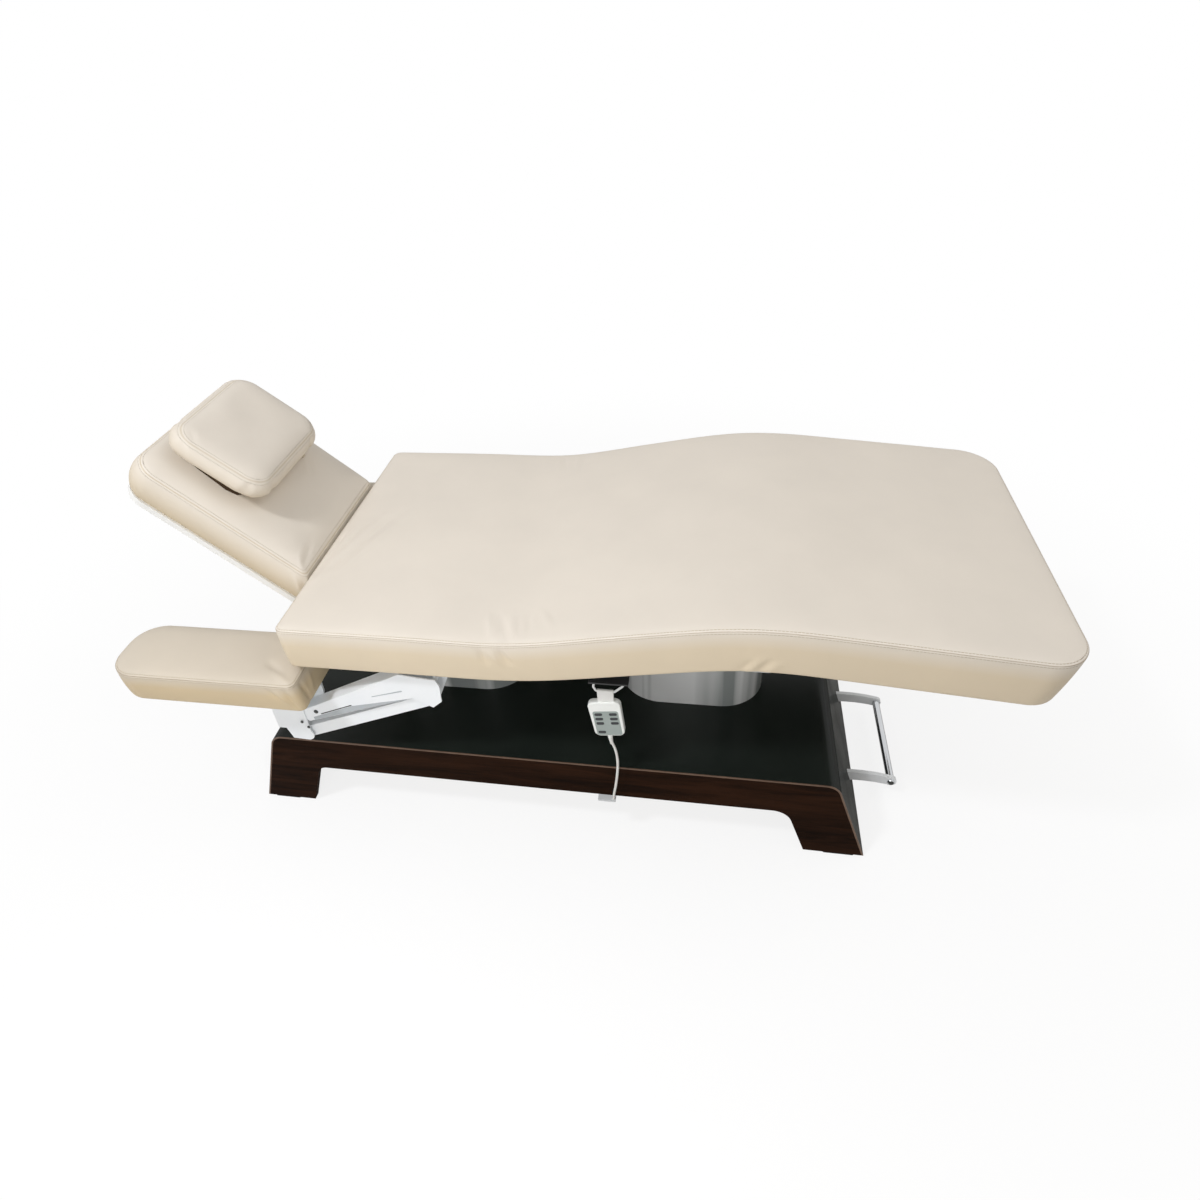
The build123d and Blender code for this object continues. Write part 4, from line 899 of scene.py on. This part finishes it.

# Column covers: oval sleeves of polished stainless steel that slide in one another. Paler and
# darker streaks run down them: painted reflections of the kind a polished sleeve shows.
steel = finish("polished_steel", Metallic=0.35)
handle(steel, patch_scale=7, gloss=(0.10, 0.18), skin_scale=60, skin_depth=0.00004)
tree = steel.node_tree
# Vertical streaks in the base colour: painted reflections.
reflection_streaks = noise(tree, spread_out(tree, (6.0, 6.0, 0.3)), scale=1.6, detail=3.0, Distortion=0.6)
tint(steel, reflection_streaks, low=0.42, dark=(168, 174, 173), high=0.58, light=(252, 254, 254))
dress(steel, *[f"{end}_{stage}_sleeve" for end in ("head", "foot") for stage in ("lower", "middle", "upper")])

# Lifting frame: welded square tube and flat hinge arms, sprayed light grey, which carry the boards.
# The drives that lift it stand inside the column covers and are bright steel.
grey = hard_finish("grey_powder_coat", (142, 145, 147), (160, 163, 164), gloss=(0.38, 0.54),
                   patch_scale=9, skin_scale=520, skin_depth=0.00007)
dress(grey, "side_rails", "cross_tubes", "hinge_ears", "thigh_arms", "leg_arms", "head_arms")
bright = hard_finish("bright_steel", (162, 165, 168), (188, 190, 190), gloss=(0.22, 0.36),
                     patch_scale=18, skin_scale=900, skin_depth=0.00002, Metallic=1.0)
dress(bright, "lift_drives", "lift_rods")

# Armrest linkage: on each side a pressed channel and a bar are pivoted between a bracket on the
# lifting frame and the armrest's carrier plate, all steel under a white powder coat.
coat = hard_finish("white_powder_coat", (233, 238, 242), (246, 248, 249), gloss=(0.30, 0.44),
                   patch_scale=12, skin_scale=480, skin_depth=0.00007)
dress(coat, "armrest_brackets", *[f"{side}_{part}" for side in ("right", "left")
                                  for part in ("armrest_carrier", "upper_link", "lower_link")])

# Its small parts: a tapered hollow and a short groove pressed in each channel's face, a slot
# above the hollow, and the black heads of the screws at the armrest's end. The hollow, groove and
# slot are thin plates whose grey and black are painted shade.
link_turn = radians(23.2)
link_pivot_x, link_pivot_z = -0.243, 0.513
channel_inside, screw_face, channel_face, slot_face, guard_face = 0.3628, 0.363, 0.3634, 0.3638, 0.370
link_screw, link_screw_radius = (-0.326, 0.0125), 0.0055
guard_screws, guard_screw_radius = ((-0.5765, 0.3480), (-0.5890, 0.3640)), 0.0036
hollow_shade_grey = hard_finish("hollow_shade_grey", (164, 171, 175), (188, 193, 196), gloss=(0.40, 0.54),
                          patch_scale=16, skin_scale=500, skin_depth=0.00005)
screw_black = hard_finish("screw_black", (26, 30, 27), (48, 52, 46), gloss=(0.34, 0.5), patch_scale=40,
                          skin_scale=900, skin_depth=0.00003)


def on_channel(along, up):
    """A point of the channel's face, from its upper pivot along and square to the link."""
    return (link_pivot_x + along * cos(link_turn) - up * sin(link_turn),
            link_pivot_z + along * sin(link_turn) + up * cos(link_turn))


def screw(name, x, z, face, side, radius, material):
    """A low domed screw head that stands on a face square to the long side: a short tube whose radius
    falls with a cosine while its height rises with the sine of the same angle."""
    seat, rim, dome, dome_rings, head_sides = -0.0002, 0.0008, 0.0016, 5, 24
    rise = np.linspace(0, pi / 2, dome_rings + 2)[1:-1]
    heights = np.array([seat, rim, *(rim + dome * np.sin(rise))])
    path = np.stack([np.full(len(heights), x), side * (face + heights), np.full(len(heights), z)], 1)
    return tube(name, path, [radius, radius, *(radius * np.cos(rise))], head_sides, material)


# Each mark's grey or black stands in for the shade inside it: painted shade.
channel_marks = (
    ("hollow", channel_face, hollow_shade_grey,
     ((-0.346, -0.0090), (-0.344, -0.0010), (-0.225, 0.0010), (-0.086, -0.0200), (-0.084, -0.0208))),
    ("slot", slot_face, screw_black,
     ((-0.318, 0.0012), (-0.318, 0.0036), (-0.226, 0.0046), (-0.226, 0.0026))),
    ("groove", channel_face, hollow_shade_grey,
     ((-0.161, 0.0108), (-0.160, 0.0126), (-0.082, 0.0066), (-0.079, 0.0038), (-0.083, 0.0030))),
)
for side, name in both_sides:
    on_link = []
    for mark, front, material, outline in channel_marks:
        spots = [on_channel(*spot) for spot in outline]
        inner, outer = [[(x, side * depth, z) for x, z in spots] for depth in (channel_inside, front)]
        on_link.append(prism(f"{name}_link_{mark}", inner, outer, material))
    x, z = on_channel(*link_screw)
    on_link.append(screw(f"{name}_link_screw", x, z, screw_face, side, link_screw_radius, screw_black))
    for piece in on_link:
        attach(piece, f"{name}_upper_link")
    for count, (x, z) in enumerate(guard_screws, 1):
        head = screw(f"{name}_guard_screw_{count}", x, z, guard_face, side, guard_screw_radius, screw_black)
        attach(head, f"{name}_armrest")

# Handle: two curved arms of white coated steel with a chrome bar between them, fixed to the base's
# foot end to tilt it onto a trolley. A black plug stands at each end of the bar.
dress(coat, "handle_arms")
chrome = hard_finish("chrome_bar", (192, 195, 199), (214, 215, 216), gloss=(0.07, 0.16), patch_scale=14,
                     skin_scale=300, skin_depth=0.00002, Metallic=1.0)
dress(chrome, "handle_bar")
plug_x, plug_z, bar_end, plug_radius = 0.7992, 0.055, 0.1439, 0.0066
for side, name in both_sides:
    plug = screw(f"{name}_handle_plug", plug_x, plug_z, bar_end, side, plug_radius, screw_black)
    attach(plug, "base")

# Small mouldings: the control box and mains inlet under the deck and the handset's buttons are dark
# plastic, the floor glides under the legs are rubber, and the cord clip is grey plastic.
dark_plastic = hard_finish("dark_plastic", (33, 35, 37), (46, 48, 50), gloss=(0.42, 0.58),
                           patch_scale=20, skin_scale=900, skin_depth=0.00006)
dress(dark_plastic, "control_box", "mains_inlet", *[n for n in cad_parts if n.startswith("button_")])
rubber = hard_finish("dark_rubber", (24, 24, 24), (36, 35, 34), gloss=(0.66, 0.82), patch_scale=30,
                     skin_scale=700, skin_depth=0.00008)
dress(rubber, "floor_glides")
grey_plastic = hard_finish("grey_plastic", (198, 201, 203), (214, 216, 217), gloss=(0.38, 0.52),
                           patch_scale=24, skin_scale=800, skin_depth=0.00005)
dress(grey_plastic, "cord_clip")

# Handset: a shell moulded in two white plastic halves, with a grey-green keypad set in its front. It
# hangs by a white strap from a wire.
shell = hard_finish("white_plastic", (231, 234, 230), (240, 242, 239), gloss=(0.28, 0.40),
                    patch_scale=30, skin_scale=1200, skin_depth=0.00003)
dress(shell, "handset_front_shell", "handset_back_shell")
pad_face = hard_finish("keypad_plastic", (142, 152, 148), (160, 170, 166), gloss=(0.36, 0.5),
                       patch_scale=40, skin_scale=1400, skin_depth=0.00003)
dress(pad_face, "keypad")
strap = hard_finish("white_strap", (224, 224, 221), (238, 238, 236), gloss=(0.5, 0.64), patch_scale=40,
                    skin_scale=1600, skin_depth=0.00008)
dress(strap, "handset_strap")

# Handset's ring: a bent steel wire with a white coat, held by a steel bracket that is screwed under
# the board and painted black.
bracket_low = 0.531
ring_coat = finish("wire_and_bracket")
handle(ring_coat, patch_scale=12, gloss=(0.30, 0.44), skin_scale=480, skin_depth=0.00007)
tree = ring_coat.node_tree
height = node(tree, "ShaderNodeSeparateXYZ", {"Vector": spread_out(tree)}).outputs["Z"]
above = work_out(tree, "GREATER_THAN", height, bracket_low)
shade(ring_coat, Base_Color=blend_tones(tree, above, paint(228, 230, 230), paint(24, 25, 26)))
dress(ring_coat, "handset_ring")

bpy.context.scene.view_settings.view_transform = "Standard"
